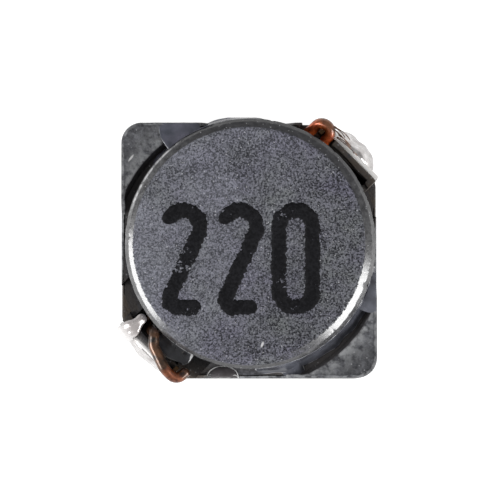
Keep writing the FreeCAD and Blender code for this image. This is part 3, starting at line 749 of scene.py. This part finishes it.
def wire_path():
    """Lead A over its hook, the inner layer downwards, the outer layer up, and lead B."""
    gate = corner_points([(2.947, 0.98, HIGHEST_TURN)])[0]
    start = leaving_turn(gate, INNER_TURN, forward=False)
    first = coil_part(start, 0.01, INNER_TURN, HIGHEST_TURN)[:1]
    lead_a = corner_points([
        (2.95, 0.56, 1.07), (2.95, 0.56, 1.95), (3.38, 0.57, WRAP_LEVEL), (3.38, 0.95, WRAP_LEVEL),
    ])
    lead_a = rounded_path(np.vstack([lead_a, [gate], first]), 0.2, 12)
    inner = coil_part(start, 4.5, INNER_TURN, HIGHEST_TURN, -WIRE_PITCH)
    low = HIGHEST_TURN - 4 * WIRE_PITCH
    angle = start + 9 * math.pi
    outward = coil_part(angle, 0.5, INNER_TURN, low, growth=WIRE_PITCH)
    outer = coil_part(angle + math.pi, 3, OUTER_TURN, low, WIRE_PITCH)
    level = low + 3 * WIRE_PITCH
    foot = corner_points([(2.95, -0.46, level)], opposite=True)[0]
    last = leaving_turn(foot, OUTER_TURN, forward=True)
    rest = ((last - angle - math.pi) % (2 * math.pi)) / (2 * math.pi)
    final = coil_part(angle + math.pi, rest, OUTER_TURN, level)
    lead_b = corner_points([
        (2.95, -0.46, level), (2.95, -0.20, 2.36), (3.17, 0, 2.36), (3.37, 0.56, 2.36),
        (3.37, 0.96, WRAP_LEVEL), (3.06, 0.97, 2.22),
    ], opposite=True)
    lead_b = rounded_path(np.vstack([final[-1:], lead_b]), [0.2, 0.1, 0.2, 0.4, 0.2], 12)
    return np.vstack([lead_a, inner[1:], outward[1:], outer[1:], final[1:-1], lead_b])


def with_ends(values):
    """Values along a path, with the first and the last of them twice more."""
    return np.concatenate([values[:1], values[:1], values, values[-1:], values[-1:]])


def tube(path, radius, sides=16):
    """A round tube along a path. Its rings stand on two vectors square to the path, made
    from one slanting reference, and each end closes in a small dome."""
    ahead = unit(np.gradient(path, axis=0))
    reference = unit(np.array([0.42, 0.55, 0.72]))
    side = unit(np.cross(ahead, reference))
    up = with_ends(np.cross(side, ahead))
    side = with_ends(side)
    turn = np.linspace(0, 2 * np.pi, sides, endpoint=False)
    size = np.array([0.0, 0.7] + [1.0] * len(path) + [0.7, 0.0])
    before = [path[:1] - ahead[:1] * radius * step for step in (0.55, 0.4)]
    beyond = [path[-1:] + ahead[-1:] * radius * step for step in (0.4, 0.55)]
    path = np.vstack([*before, path, *beyond])
    spread = np.cos(turn)[None, :, None] * side[:, None] + np.sin(turn)[None, :, None] * up[:, None]
    return path[:, None] + spread * (radius * size)[:, None, None]


def burnt_strands(count, thick):
    """Curls of burnt enamel that peel off lead A's loop: thin tubes, each along a parabola
    between a point on the loop and a point over the upright's top."""
    curls = np.random.default_rng(5)
    start = np.array([3.37, 0.60, 2.30]) + curls.uniform(-1, 1, (count, 3)) * [0.09, 0.20, 0.03]
    end = start + [0.03, -0.40, -0.22] + curls.uniform(-1, 1, (count, 3)) * [0.07, 0.24, 0.04]
    bend = (start + end) / 2 + [0.06, 0.0, 0.12] + curls.uniform(-1, 1, (count, 3)) * [0.07, 0.06, 0.03]
    share = np.linspace(0, 1, 14)[:, None, None]
    paths = corner_points((1 - share) ** 2 * start + 2 * share * (1 - share) * bend + share ** 2 * end)
    return [tube(paths[:, k], thick, 6) for k in range(count)]


wire = tube(evenly(wire_path(), 0.045), WIRE_RADIUS)
wire_out = (wire[..., 0] + wire[..., 1]) / math.sqrt(2)
wire_aside = (wire[..., 0] - wire[..., 1]) / math.sqrt(2)
charred_a = 0.93 * np.clip((wire_out - 3.16) / 0.20, 0, 1)
# Lead B is painted dark brown all along, fully where it runs close to the disc: partly resin over it,
# partly painted shade.
on_lead_b = wire_out < -2.7
darkened_b = on_lead_b * np.clip((0.90 - wire_aside) / 0.35, 0.82, 1)
tip_b = 0.97 * on_lead_b * (wire_aside > 0.8) * np.clip((wire_out + 3.35) / 0.15, 0, 1)
charred = np.maximum(np.maximum(charred_a, darkened_b), tip_b)
strands = burnt_strands(9, 0.012)
winding_marks = {"charred": [charred] + [1] * len(strands)}
winding = put_piece("winding_wire", [wire, *strands], (False, True), winding_marks)
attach(winding, "root")
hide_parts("winding")


def enamel_material():
    """Copper under clear orange enamel, with drawn lines, burnt spots and charred ends; the
    darker brown on lead B is partly painted shade.
    """
    material, tree, shader = new_material("copper_enamel", Metallic=0.6, IOR=1.55, Coat_Roughness=0.12)
    place = in_millimetres(tree)
    burnt = noise(place, 4.5, 4.0, 0.65)
    tone = stretch(burnt, 0.36, 0.64)
    base = tint(tone, (0.34, 0.055, 0.014), (0.95, 0.19, 0.040))
    brown = tint(tone, (0.012, 0.009, 0.007), (0.170, 0.080, 0.040))
    # The charred mark also carries lead B's painted shade.
    base = tint(mark_of(tree, "charred"), base, brown)
    fill(shader, Base_Color=base, Roughness=stretch(burnt, 0.3, 0.7, 0.42, 0.24))
    fill(shader, Coat_Weight=stretch(burnt, 0.3, 0.7, 0.5, 0.9))
    raise_bump(shader, noise(place, 30.0, 1.0), 0.002)
    return material


winding.data.materials.append(enamel_material())


# Terminals: tinned bronze strip, bent under the ring as a foot and up the cut corner's
# face, with a narrow hook that reaches through the wire notch.
STRIP_THICK = 0.12
STRIP_MIDDLE = CUT_REACH + STRIP_THICK / 2
FOOT_REACH = CUT_REACH - 0.88
UPRIGHT_TOP = 2.00
UPRIGHT_LEFT = 0.93
UPRIGHT_RIGHT = 0.81
HOOK_OUT = 3.17
HOOK_ASIDE = 0.76
HOOK_HALF = 0.05
HOOK_ARM = 1.76
HOOK_TOP = 2.42
HALF_DIAGONAL = HALF_SIDE * math.sqrt(2)


def strip(path, across, left, right, opposite):
    """A flat strip: its section, a rectangle with broken corners, carried along a path that
    is given as out and up; left and right are its edges aside at each point of the path."""
    ahead, normal = heading(path)
    corner = 0.25
    section = np.array([
        (-1, -1 + corner), (-1 + corner / 4, -1), (1 - corner / 4, -1), (1, -1 + corner),
        (1, 1 - corner), (1 - corner / 4, 1), (-1 + corner / 4, 1), (-1, 1 - corner),
    ])
    middle, half = (left + right) / 2, (right - left) / 2
    reach = np.array([0.0, 0.85] + [1.0] * len(path) + [0.85, 0.0])
    lengthen = np.array([-0.2, -0.2] + [0.0] * len(path) + [0.2, 0.2]) * STRIP_THICK
    path, ahead, normal, middle, half = map(with_ends, (path, ahead, normal, middle, half))
    centre = path + ahead * lengthen[:, None]
    lift = (section[:, 1] * STRIP_THICK / 2)[None, :, None] * reach[:, None, None]
    flat = centre[:, None] + normal[:, None] * lift
    aside = middle[:, None] + half[:, None] * section[:, 0] * reach[:, None]
    points = np.stack([flat[..., 0], aside + across, flat[..., 1]], -1)
    return corner_points(points, opposite)


def terminal_grids(opposite):
    """Foot and upright are one bent strip, wide under the ring and narrower behind its
    bend; the hook is a second, narrow strip that leaves it below the notch. The marks say
    that the hook is soiled, and that solder wets the upright's top."""
    corners = [
        (FOOT_REACH + 0.02, STRIP_THICK / 2), (STRIP_MIDDLE, STRIP_THICK / 2),
        (STRIP_MIDDLE, UPRIGHT_TOP - 0.03),
    ]
    line = evenly(rounded_path(corners, 0.10, 10), 0.03)
    out = line[:, 0]
    wide = HALF_DIAGONAL - out
    bent = between(out, (CUT_REACH - 0.06, 9), 0.06)
    left = -wide * (1 - bent) - UPRIGHT_LEFT * bent
    right = wide * (1 - bent) + UPRIGHT_RIGHT * bent
    arm = [(STRIP_MIDDLE, HOOK_ARM), (HOOK_OUT, HOOK_ARM), (HOOK_OUT, HOOK_TOP)]
    hook = evenly(rounded_path(arm, 0.07, 8), 0.03)
    edge = np.full(len(hook), HOOK_HALF)
    bent_strip = strip(line, 0, left, right, opposite)
    narrow_strip = strip(hook, HOOK_ASIDE, -edge, edge, opposite)
    wetted = np.clip((bent_strip[..., 2] - UPRIGHT_TOP + 0.10) / 0.06, 0, 1)
    return [bent_strip, narrow_strip], {"soiled": [0, 1], "wetted": [wetted, 0]}


def tin_material():
    """Satin tin over bronze: fine rolling lines and duller patches, hooks browned by heat
    and uprights whitened by solder at their tops."""
    material, tree, shader = new_material("tinned_strip")
    place = in_millimetres(tree)
    clouds = noise(place, 3.0, 4.0, 0.6)
    lines = add_node(tree, "ShaderNodeTexWave", Scale=9.0, Distortion=2.5, Detail=2.0)
    fill(lines, Vector=place, bands_direction="Z")
    wetted = mark_of(tree, "wetted")
    base = tint(clouds, (0.55, 0.54, 0.53), (0.80, 0.79, 0.78))
    base = tint(stretch(clouds, 0.26, 0.46, 0.8, 0.0), base, (0.42, 0.39, 0.36))
    base = tint(wetted, base, (0.90, 0.88, 0.86))
    base = tint(mark_of(tree, "soiled"), base, (0.085, 0.050, 0.026))
    fill(shader, Base_Color=base, Roughness=stretch(clouds, 0.3, 0.7, 0.22, 0.42))
    fill(shader, Metallic=stretch(wetted, 0, 1, 1.0, 0.15))
    raise_bump(shader, lines.outputs["Fac"], 0.002)
    return material


tin = tin_material()
for label, opposite in (("terminal_a", False), ("terminal_b", True)):
    grids, marks = terminal_grids(opposite)
    terminal = put_piece(f"{label}_strip", grids, (False, True), marks)
    terminal.data.materials.append(tin)
    crisp(terminal, 50)
    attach(terminal, "root")
    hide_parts(label)


# Solder: flowed over the uprights' outer faces. The joint at the back is full and the
# front one lean, but there a run went over the wall and froze beside the disc.
SOLDER_LOW = 0.35
SOLDER_HIGH = UPRIGHT_TOP - 0.05
SOLDER_HALF = 0.70
SOLDER_ASIDE = -0.06
SOLDER_BACK = CUT_REACH + STRIP_THICK - 0.01


def lumps(x, y, shift):
    """Gentle lumps from a few crossing waves."""
    first = np.sin(5.1 * x + 3.7 * y + shift) * np.sin(2.3 * x - 4.9 * y + 2 * shift)
    second = np.sin(11.0 * x - 7.0 * y + 3 * shift) * np.sin(8.0 * y + shift)
    return 0.7 * first + 0.3 * second


def solder_dome(bulge, shift, opposite, dimple=None):
    """Half an egg that lies on the upright: rows go from its rim to its crown, columns
    round it. Lumps and a dimple change how far it stands out. A dimple is given as its
    place aside and up, its depth and its width."""
    half_high = (SOLDER_HIGH - SOLDER_LOW) / 2
    middle = (SOLDER_HIGH + SOLDER_LOW) / 2
    rise = np.linspace(0, np.pi / 2, 40)[:, None]
    turn = np.linspace(0, 2 * np.pi, 72, endpoint=False)[None]
    wobble = 1 + 0.035 * np.sin(3 * turn + shift) + 0.025 * np.sin(5 * turn + 2 * shift)
    aside = SOLDER_ASIDE + SOLDER_HALF * 0.97 * wobble * np.cos(rise) * np.cos(turn)
    level = middle + half_high * wobble * np.cos(rise) * np.sin(turn)
    out = bulge * np.sin(rise) * (1 + 0.16 * lumps(aside * 1.3, level * 1.3, shift))
    if dimple:
        away = np.hypot(aside - dimple[0], level - dimple[1])
        out = out - dimple[2] * np.exp(-((away / dimple[3]) ** 2))
    out = SOLDER_BACK + np.maximum(out, 0)
    shell = np.stack([out, aside, level + 0 * out], -1)
    back = shell[:1] * 0 + [SOLDER_BACK, SOLDER_ASIDE, middle]
    return corner_points(np.concatenate([back, shell]), opposite)[::-1]


def solder_run():
    """The run over the wall: a flattened tongue along a bent line, whose section is an oval
    that narrows to its tip. The mark says where it froze dull, on the disc's side."""
    line = [(3.45, 1.10), (3.45, 1.98), (3.35, 2.24), (3.20, 2.31), (2.80, 2.31)]
    line = evenly(rounded_path(line, [0.2, 0.12, 0.12], 8), 0.02)
    share = np.linspace(0, 1, len(line))
    ahead, normal = heading(line)
    turn = np.linspace(0, 2 * np.pi, 40, endpoint=False)
    ends = np.sqrt(np.clip(1 - ((share - 0.5) / 0.5) ** 6, 0, 1))
    wide = (0.19 + 0.03 * np.sin(11 * share + 1) + 0.02 * np.sin(27 * share)) * ends
    thick = (0.105 + 0.012 * np.sin(17 * share)) * ends
    aside = -0.67 - 0.03 * np.sin(5 * share)[:, None] + wide[:, None] * np.cos(turn)
    lift = thick[:, None] * np.sin(turn) * (1 + 0.12 * np.sin(3 * turn + 9 * share[:, None]))
    flat = line[:, None] - normal[:, None] * lift[..., None]
    points = np.stack([flat[..., 0], aside, flat[..., 1]], -1)
    frozen = np.clip((share - 0.60) / 0.15, 0, 1)[:, None]
    return corner_points(points, True), frozen


def solder_material():
    """Bright flowed solder: smooth, with frosted patches. The run is matte, and grey where
    it froze."""
    material, tree, shader = new_material("flowed_solder", IOR=2.0)
    place = in_millimetres(tree)
    frost = noise(place, 4.5, 4.0, 0.6)
    matte = mark_of(tree, "matte")
    base = tint(stretch(frost, 0.35, 0.65), (0.52, 0.49, 0.48), (0.82, 0.80, 0.79))
    base = tint(matte, base, (0.86, 0.84, 0.83))
    base = tint(mark_of(tree, "frozen"), base, (0.46, 0.425, 0.415))
    fill(shader, Base_Color=base, Roughness=stretch(frost, 0.35, 0.7, 0.12, 0.34))
    fill(shader, Metallic=stretch(matte, 0, 1, 0.8, 0.35))
    raise_bump(shader, noise(place, 9.0, 2.0), 0.006)
    return material


solder = solder_material()
dimple = (0.02, 1.60, 0.10, 0.13)
joint_a = put_piece("solder_joint_a", [solder_dome(0.34, 0.7, False, dimple)], (False, True))
run, frozen = solder_run()
run_marks = {"matte": [0, 1], "frozen": [0, frozen]}
joint_b = put_piece("solder_joint_b", [solder_dome(0.18, 2.1, True), run], (False, True), run_marks)
for joint, label in ((joint_a, "solder_a"), (joint_b, "solder_b")):
    joint.data.materials.append(solder)
    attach(joint, "root")
    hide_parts(label)


# Adhesive: clear epoxy between disc and ring, dabbed on by hand. It wets the rim in
# uneven beads, smears over the posts at the back left and the front right, fills the
# front left pocket and lies as a drop on the ledge.
def rim_bead(start, end, width, climb, base_level, rough=0.25, tapers=(0.14, 0.14), lined=1.0):
    """A bead along the disc's rim. Its section falls from a line on the rim in a hollow
    curve to its outer edge; width and climb fade at both ends and wander along it. The
    mark says where it thins out and is painted light, partly as a highlight: along the
    outer edge, the rim and both ends."""
    turn = np.radians(np.linspace(start, end, int(abs(end - start) * 6)))
    arc = np.abs(turn - turn[0]) * DISC_RADIUS
    to_end = np.minimum(arc, arc[::-1])
    fade = np.clip(np.minimum(arc / tapers[0], arc[::-1] / tapers[1]), 0, 1)
    fade = np.sqrt(1 - (1 - fade) ** 2)
    wander = [1 + rough * soft_noise(turn, 40, 8) for _ in range(2)]
    wide = np.maximum(width * fade * wander[0], 0.004)
    high = np.maximum((climb - base_level) * fade * wander[1], 0.01)
    along = [-0.06, 0.0, 0.08, 0.2, 0.36, 0.55, 0.75, 0.88, 0.95, 1.0, 0.97, 0.4, -0.06]
    drop = [0.9, 1.0, 0.86, 0.66, 0.44, 0.26, 0.13, 0.09, 0.07, 0.02, -0.02, -0.02, -0.02]
    along, drop = np.array([along, drop])[..., None]
    distance = DISC_RADIUS + along * wide
    level = base_level + np.minimum(drop * high, climb - base_level)
    edge = np.where(np.abs(along - 0.95) < 0.06, lined, 0.0)
    edge = np.maximum(edge, 2.0 * np.exp(-(((to_end - 0.02) / 0.03) ** 2)))
    edge = np.maximum(edge, 0.75 * np.where(np.abs(along) < 0.04, 1.0, 0.0))
    return round_drum(distance, turn, level)[::-1], edge[::-1]


def keep_inside(bead, reach_x, reach_y):
    """A bead held within two distances from the middle. It rounds off towards them: its
    height over its foot falls as a quarter circle in the last 0.12 mm."""
    points, edge = bead
    reach = np.array([reach_x, reach_y])
    flat, level = points[..., :2], points[..., 2:]
    room = (reach - np.abs(flat)).min(-1, keepdims=True)
    round_off = np.sqrt(1 - (1 - np.clip(room / 0.12, 0, 1)) ** 2)
    foot = level.min()
    return np.concatenate([np.clip(flat, -reach, reach), foot + (level - foot) * round_off], -1), edge


def epoxy_material(name, deep, milky, thin_edge_light, gloss):
    """Clear epoxy over ferrite: glossy, from a deep to a milky tone, and painted whitish where
    it thins out: partly thin glue, partly the painted highlight its edges catch."""
    material, tree, shader = new_material(name, IOR=1.5, Coat_Weight=gloss, Coat_Roughness=0.06)
    place = in_millimetres(tree)
    clouds = noise(place, 2.4, 3.0)
    base = tint(stretch(clouds, 0.35, 0.65), deep, milky)
    # Painted highlight: the edge mark paints thin edges whitish, partly thin glue, partly highlight.
    mark = mark_of(tree, "edge")
    edge = times(stretch(mark, 0.3, 0.9), stretch(noise(place, 3.6, 2.0), 0.40, 0.52))
    edge = combine("MAXIMUM", edge, stretch(mark, 1.2, 1.7))
    fill(shader, Base_Color=tint(edge, base, thin_edge_light), Roughness=stretch(clouds, 0.3, 0.7, 0.14, 0.30))
    raise_bump(shader, clouds, 0.02)
    return material


epoxy = epoxy_material(
    "clear_epoxy", (0.050, 0.052, 0.062), (0.118, 0.123, 0.148), (0.50, 0.50, 0.51), 0.5,
)
film = epoxy_material(
    "epoxy_film", (0.045, 0.050, 0.064), (0.110, 0.109, 0.142), (0.14, 0.14, 0.18), 0.15,
)
slab = epoxy_material(
    "thick_epoxy", (0.014, 0.014, 0.016), (0.040, 0.041, 0.046), (0.60, 0.60, 0.61), 0.3,
)
aged = epoxy_material(
    "aged_drop", (0.026, 0.022, 0.022), (0.062, 0.056, 0.060), (0.80, 0.80, 0.80), 0.15,
)


def put_beads(name, parts, finish, node, closed=(True, False)):
    """Beads as one piece that stands for the named solid."""
    edges = [edge for points, edge in parts]
    piece = put_piece(name, [points for points, edge in parts], closed, {"edge": edges})
    piece.data.materials.append(finish)
    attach(piece, "root")
    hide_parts(node)


def smear_patch(start, end, inner, outer, level, thick):
    """A thin smear on a post: a low cushion between two angles and two radii, whose outer
    edge wanders. Rows go outward and columns along it."""
    turn = np.radians(np.linspace(start, end, 60))
    share = np.linspace(0, 1, 60)
    round_end = np.sqrt(np.clip(1 - (2 * share - 1) ** 4, 0, 1))
    far = inner + (outer - inner) * round_end * (1 + 0.12 * soft_noise(turn, 60, 10))
    across = np.linspace(0, 1, 22)[:, None]
    distance = inner + (far - inner) * across
    dome = np.clip(1 - across ** 2, 0, 1) * np.clip(round_end * 1.5, 0, 1)
    top = round_drum(distance, turn, level + thick * dome)
    under = round_drum(distance, turn, level - 0.01)
    edge = 0.25 * across
    return np.concatenate([top, under[::-1]]), np.concatenate([edge, 0 * edge])


def epoxy_drop(x, y, radius, level, tall):
    """A drop on the ledge: a low dome, with a rim painted bright where it thins out, partly as a
    highlight.
    """
    rise = np.linspace(0, np.pi / 2, 24)[:, None]
    turn = np.linspace(0, 2 * np.pi, 64, endpoint=False)[None]
    wide = radius * (1 + 0.05 * np.sin(2 * turn + 1) + 0.03 * np.sin(3 * turn))
    out = wide * np.cos(rise)
    up = level + tall * np.sin(rise) + 0 * turn
    edge = 2.2 * np.exp(-(((rise - 0.20) / 0.15) ** 2))
    return np.stack([x + out * np.cos(turn), y + out * np.sin(turn), up], -1), edge


FILM_THICK = 0.022
back_left_smear = smear_patch(113, 131, DISC_RADIUS - 0.02, DISC_RADIUS + 0.56, RING_TOP, FILM_THICK)
back_left_bead = rim_bead(82, 141, 0.11, DISC_TOP - 0.18, SEAT_LEVEL, rough=0.2, tapers=(1.2, 0.6))
put_beads("adhesive_back_left_bead", [
    keep_inside(back_left_smear, 3, 2.985), keep_inside(back_left_bead, 3, 3.14),
], film, "adhesive_back_left")
front_bead = rim_bead(272, 350, 0.21, DISC_TOP - 0.24, SEAT_LEVEL, tapers=(1.2, 0.8), lined=0.6)
front_puddle = rim_bead(
    283, 294, 0.46, SEAT_LEVEL + 0.20, SEAT_LEVEL, rough=0.15, tapers=(0.5, 0.14), lined=0.3,
)
right_smear = smear_patch(329, 347, DISC_RADIUS + 0.02, DISC_RADIUS + 0.45, RING_TOP, FILM_THICK)
put_beads("adhesive_front_right_bead", [
    keep_inside(front_bead, 2.995, 3), keep_inside(front_puddle, 3, 2.99),
    keep_inside(right_smear, 2.985, 3),
], epoxy, "adhesive_front_right")
pocket_fill = rim_bead(223, 243, 0.33, SEAT_LEVEL + 0.12, SEAT_LEVEL, rough=0.15, lined=0.2)
put_beads("adhesive_front_left_bead", [keep_inside(pocket_fill, 3, 3)], slab, "adhesive_front_left")
drop = keep_inside(epoxy_drop(-0.63, -3.05, 0.37, SEAT_LEVEL, 0.16), 3, HALF_SIDE)
put_beads("adhesive_front_drop", [drop], aged, "adhesive_front", closed=(False, True))


# Stage: a pale table that reaches out of sight and is clear from below, softboxes low at
# the front right and the left, and a dim room that mirrors show brighter near its floor.
# The camera looks almost straight down from far away, tipped a little to the front.
PHOTO_PIXELS = 500
PIXELS_PER_MM = 42.67
PHOTO_WIDTH = PHOTO_PIXELS / PIXELS_PER_MM
CAMERA_AWAY = 80.0
CAMERA_TILT = math.radians(2.5)
SENSOR = 36.0
LOOK_AT = np.array([0.023, 0.0, RING_TOP])
TABLE_HALF = 3.0


def in_sight(tree):
    """1 for a ray that looks at a surface, straight, mirrored or through glass, else 0."""
    rays = add_node(tree, "ShaderNodeLightPath").outputs
    mirrored = combine("MAXIMUM", rays["Is Glossy Ray"], rays["Is Transmission Ray"])
    return combine("MAXIMUM", rays["Is Camera Ray"], mirrored)


table_mesh = bpy.data.meshes.new("table")
table_corners = [(-1, -1, 0), (1, -1, 0), (1, 1, 0), (-1, 1, 0)]
table_mesh.from_pydata((TABLE_HALF * np.array(table_corners)).tolist(), [], [(0, 1, 2, 3)])
table = new_object("table", table_mesh)
table_material, table_tree, table_shader = new_material(
    "table_white", Base_Color=(0.50, 0.50, 0.50, 1), Roughness=0.9,
)
rays = add_node(table_tree, "ShaderNodeLightPath").outputs
straight = times(rays["Is Camera Ray"], 0.85)
mirrored = times(in_sight(table_tree), 0.45)
glow = add_node(table_tree, "ShaderNodeEmission", Strength=combine("MAXIMUM", straight, mirrored))
both = add_node(table_tree, "ShaderNodeAddShader")
plug(both.inputs[0], table_shader.outputs["BSDF"])
plug(both.inputs[1], glow.outputs["Emission"])
under = add_node(table_tree, "ShaderNodeNewGeometry")
clear = add_node(table_tree, "ShaderNodeBsdfTransparent")
sides = add_node(table_tree, "ShaderNodeMixShader", Fac=under.outputs["Backfacing"])
plug(sides.inputs[1], both.outputs["Shader"])
plug(sides.inputs[2], clear.outputs["BSDF"])
plug(table_tree.nodes["Material Output"].inputs["Surface"], sides.outputs["Shader"])
table_mesh.materials.append(table_material)


def softbox(name, azimuth, elevation, away, width, height, radiance):
    """A rectangular lamp that faces the part. Its power is four times its brightness and area
    multiplied."""
    lamp = bpy.data.lights.new(name, "AREA")
    lamp.shape = "RECTANGLE"
    lamp.size = width
    lamp.size_y = height
    lamp.energy = radiance * 4 * width * height
    box = new_object(name, lamp)
    turn, tilt = math.radians(azimuth), math.radians(elevation)
    level_away = away * math.cos(tilt)
    box.location = (level_away * math.cos(turn), level_away * math.sin(turn), away * math.sin(tilt))
    box.rotation_euler = (math.pi / 2 - tilt, 0, turn + math.pi / 2)


softbox("front_right_box", 332, 31, 0.30, 0.18, 0.14, 7.7)
softbox("front_left_box", 196, 31, 0.30, 0.22, 0.14, 7.2)

world = bpy.data.worlds.new("studio")
bpy.context.scene.world = world
world.use_nodes = True
world_tree = world.node_tree
direction = add_node(world_tree, "ShaderNodeTexCoord").outputs["Generated"]
height = add_node(world_tree, "ShaderNodeSeparateXYZ", Vector=direction).outputs["Z"]
wall = times(in_sight(world_tree), stretch(height, 0.10, 0.45, 1.0, 0.30))
room = combine("MAXIMUM", wall, 0.30)
fill(world_tree.nodes["Background"], Color=(1.0, 1.0, 1.0, 1), Strength=room)

camera_data = bpy.data.cameras.new("camera")
camera_data.sensor_width = SENSOR
camera_data.lens = SENSOR * CAMERA_AWAY / PHOTO_WIDTH
camera_data.clip_start = 0.001
camera_data.clip_end = 20.0
camera = new_object("camera", camera_data)
offset = CAMERA_AWAY * np.array([0, -math.sin(CAMERA_TILT), math.cos(CAMERA_TILT)])
camera.location = (LOOK_AT + offset) * MM
camera.rotation_euler = (CAMERA_TILT, 0, 0)
bpy.context.scene.camera = camera
bpy.context.scene.view_settings.view_transform = "Standard"
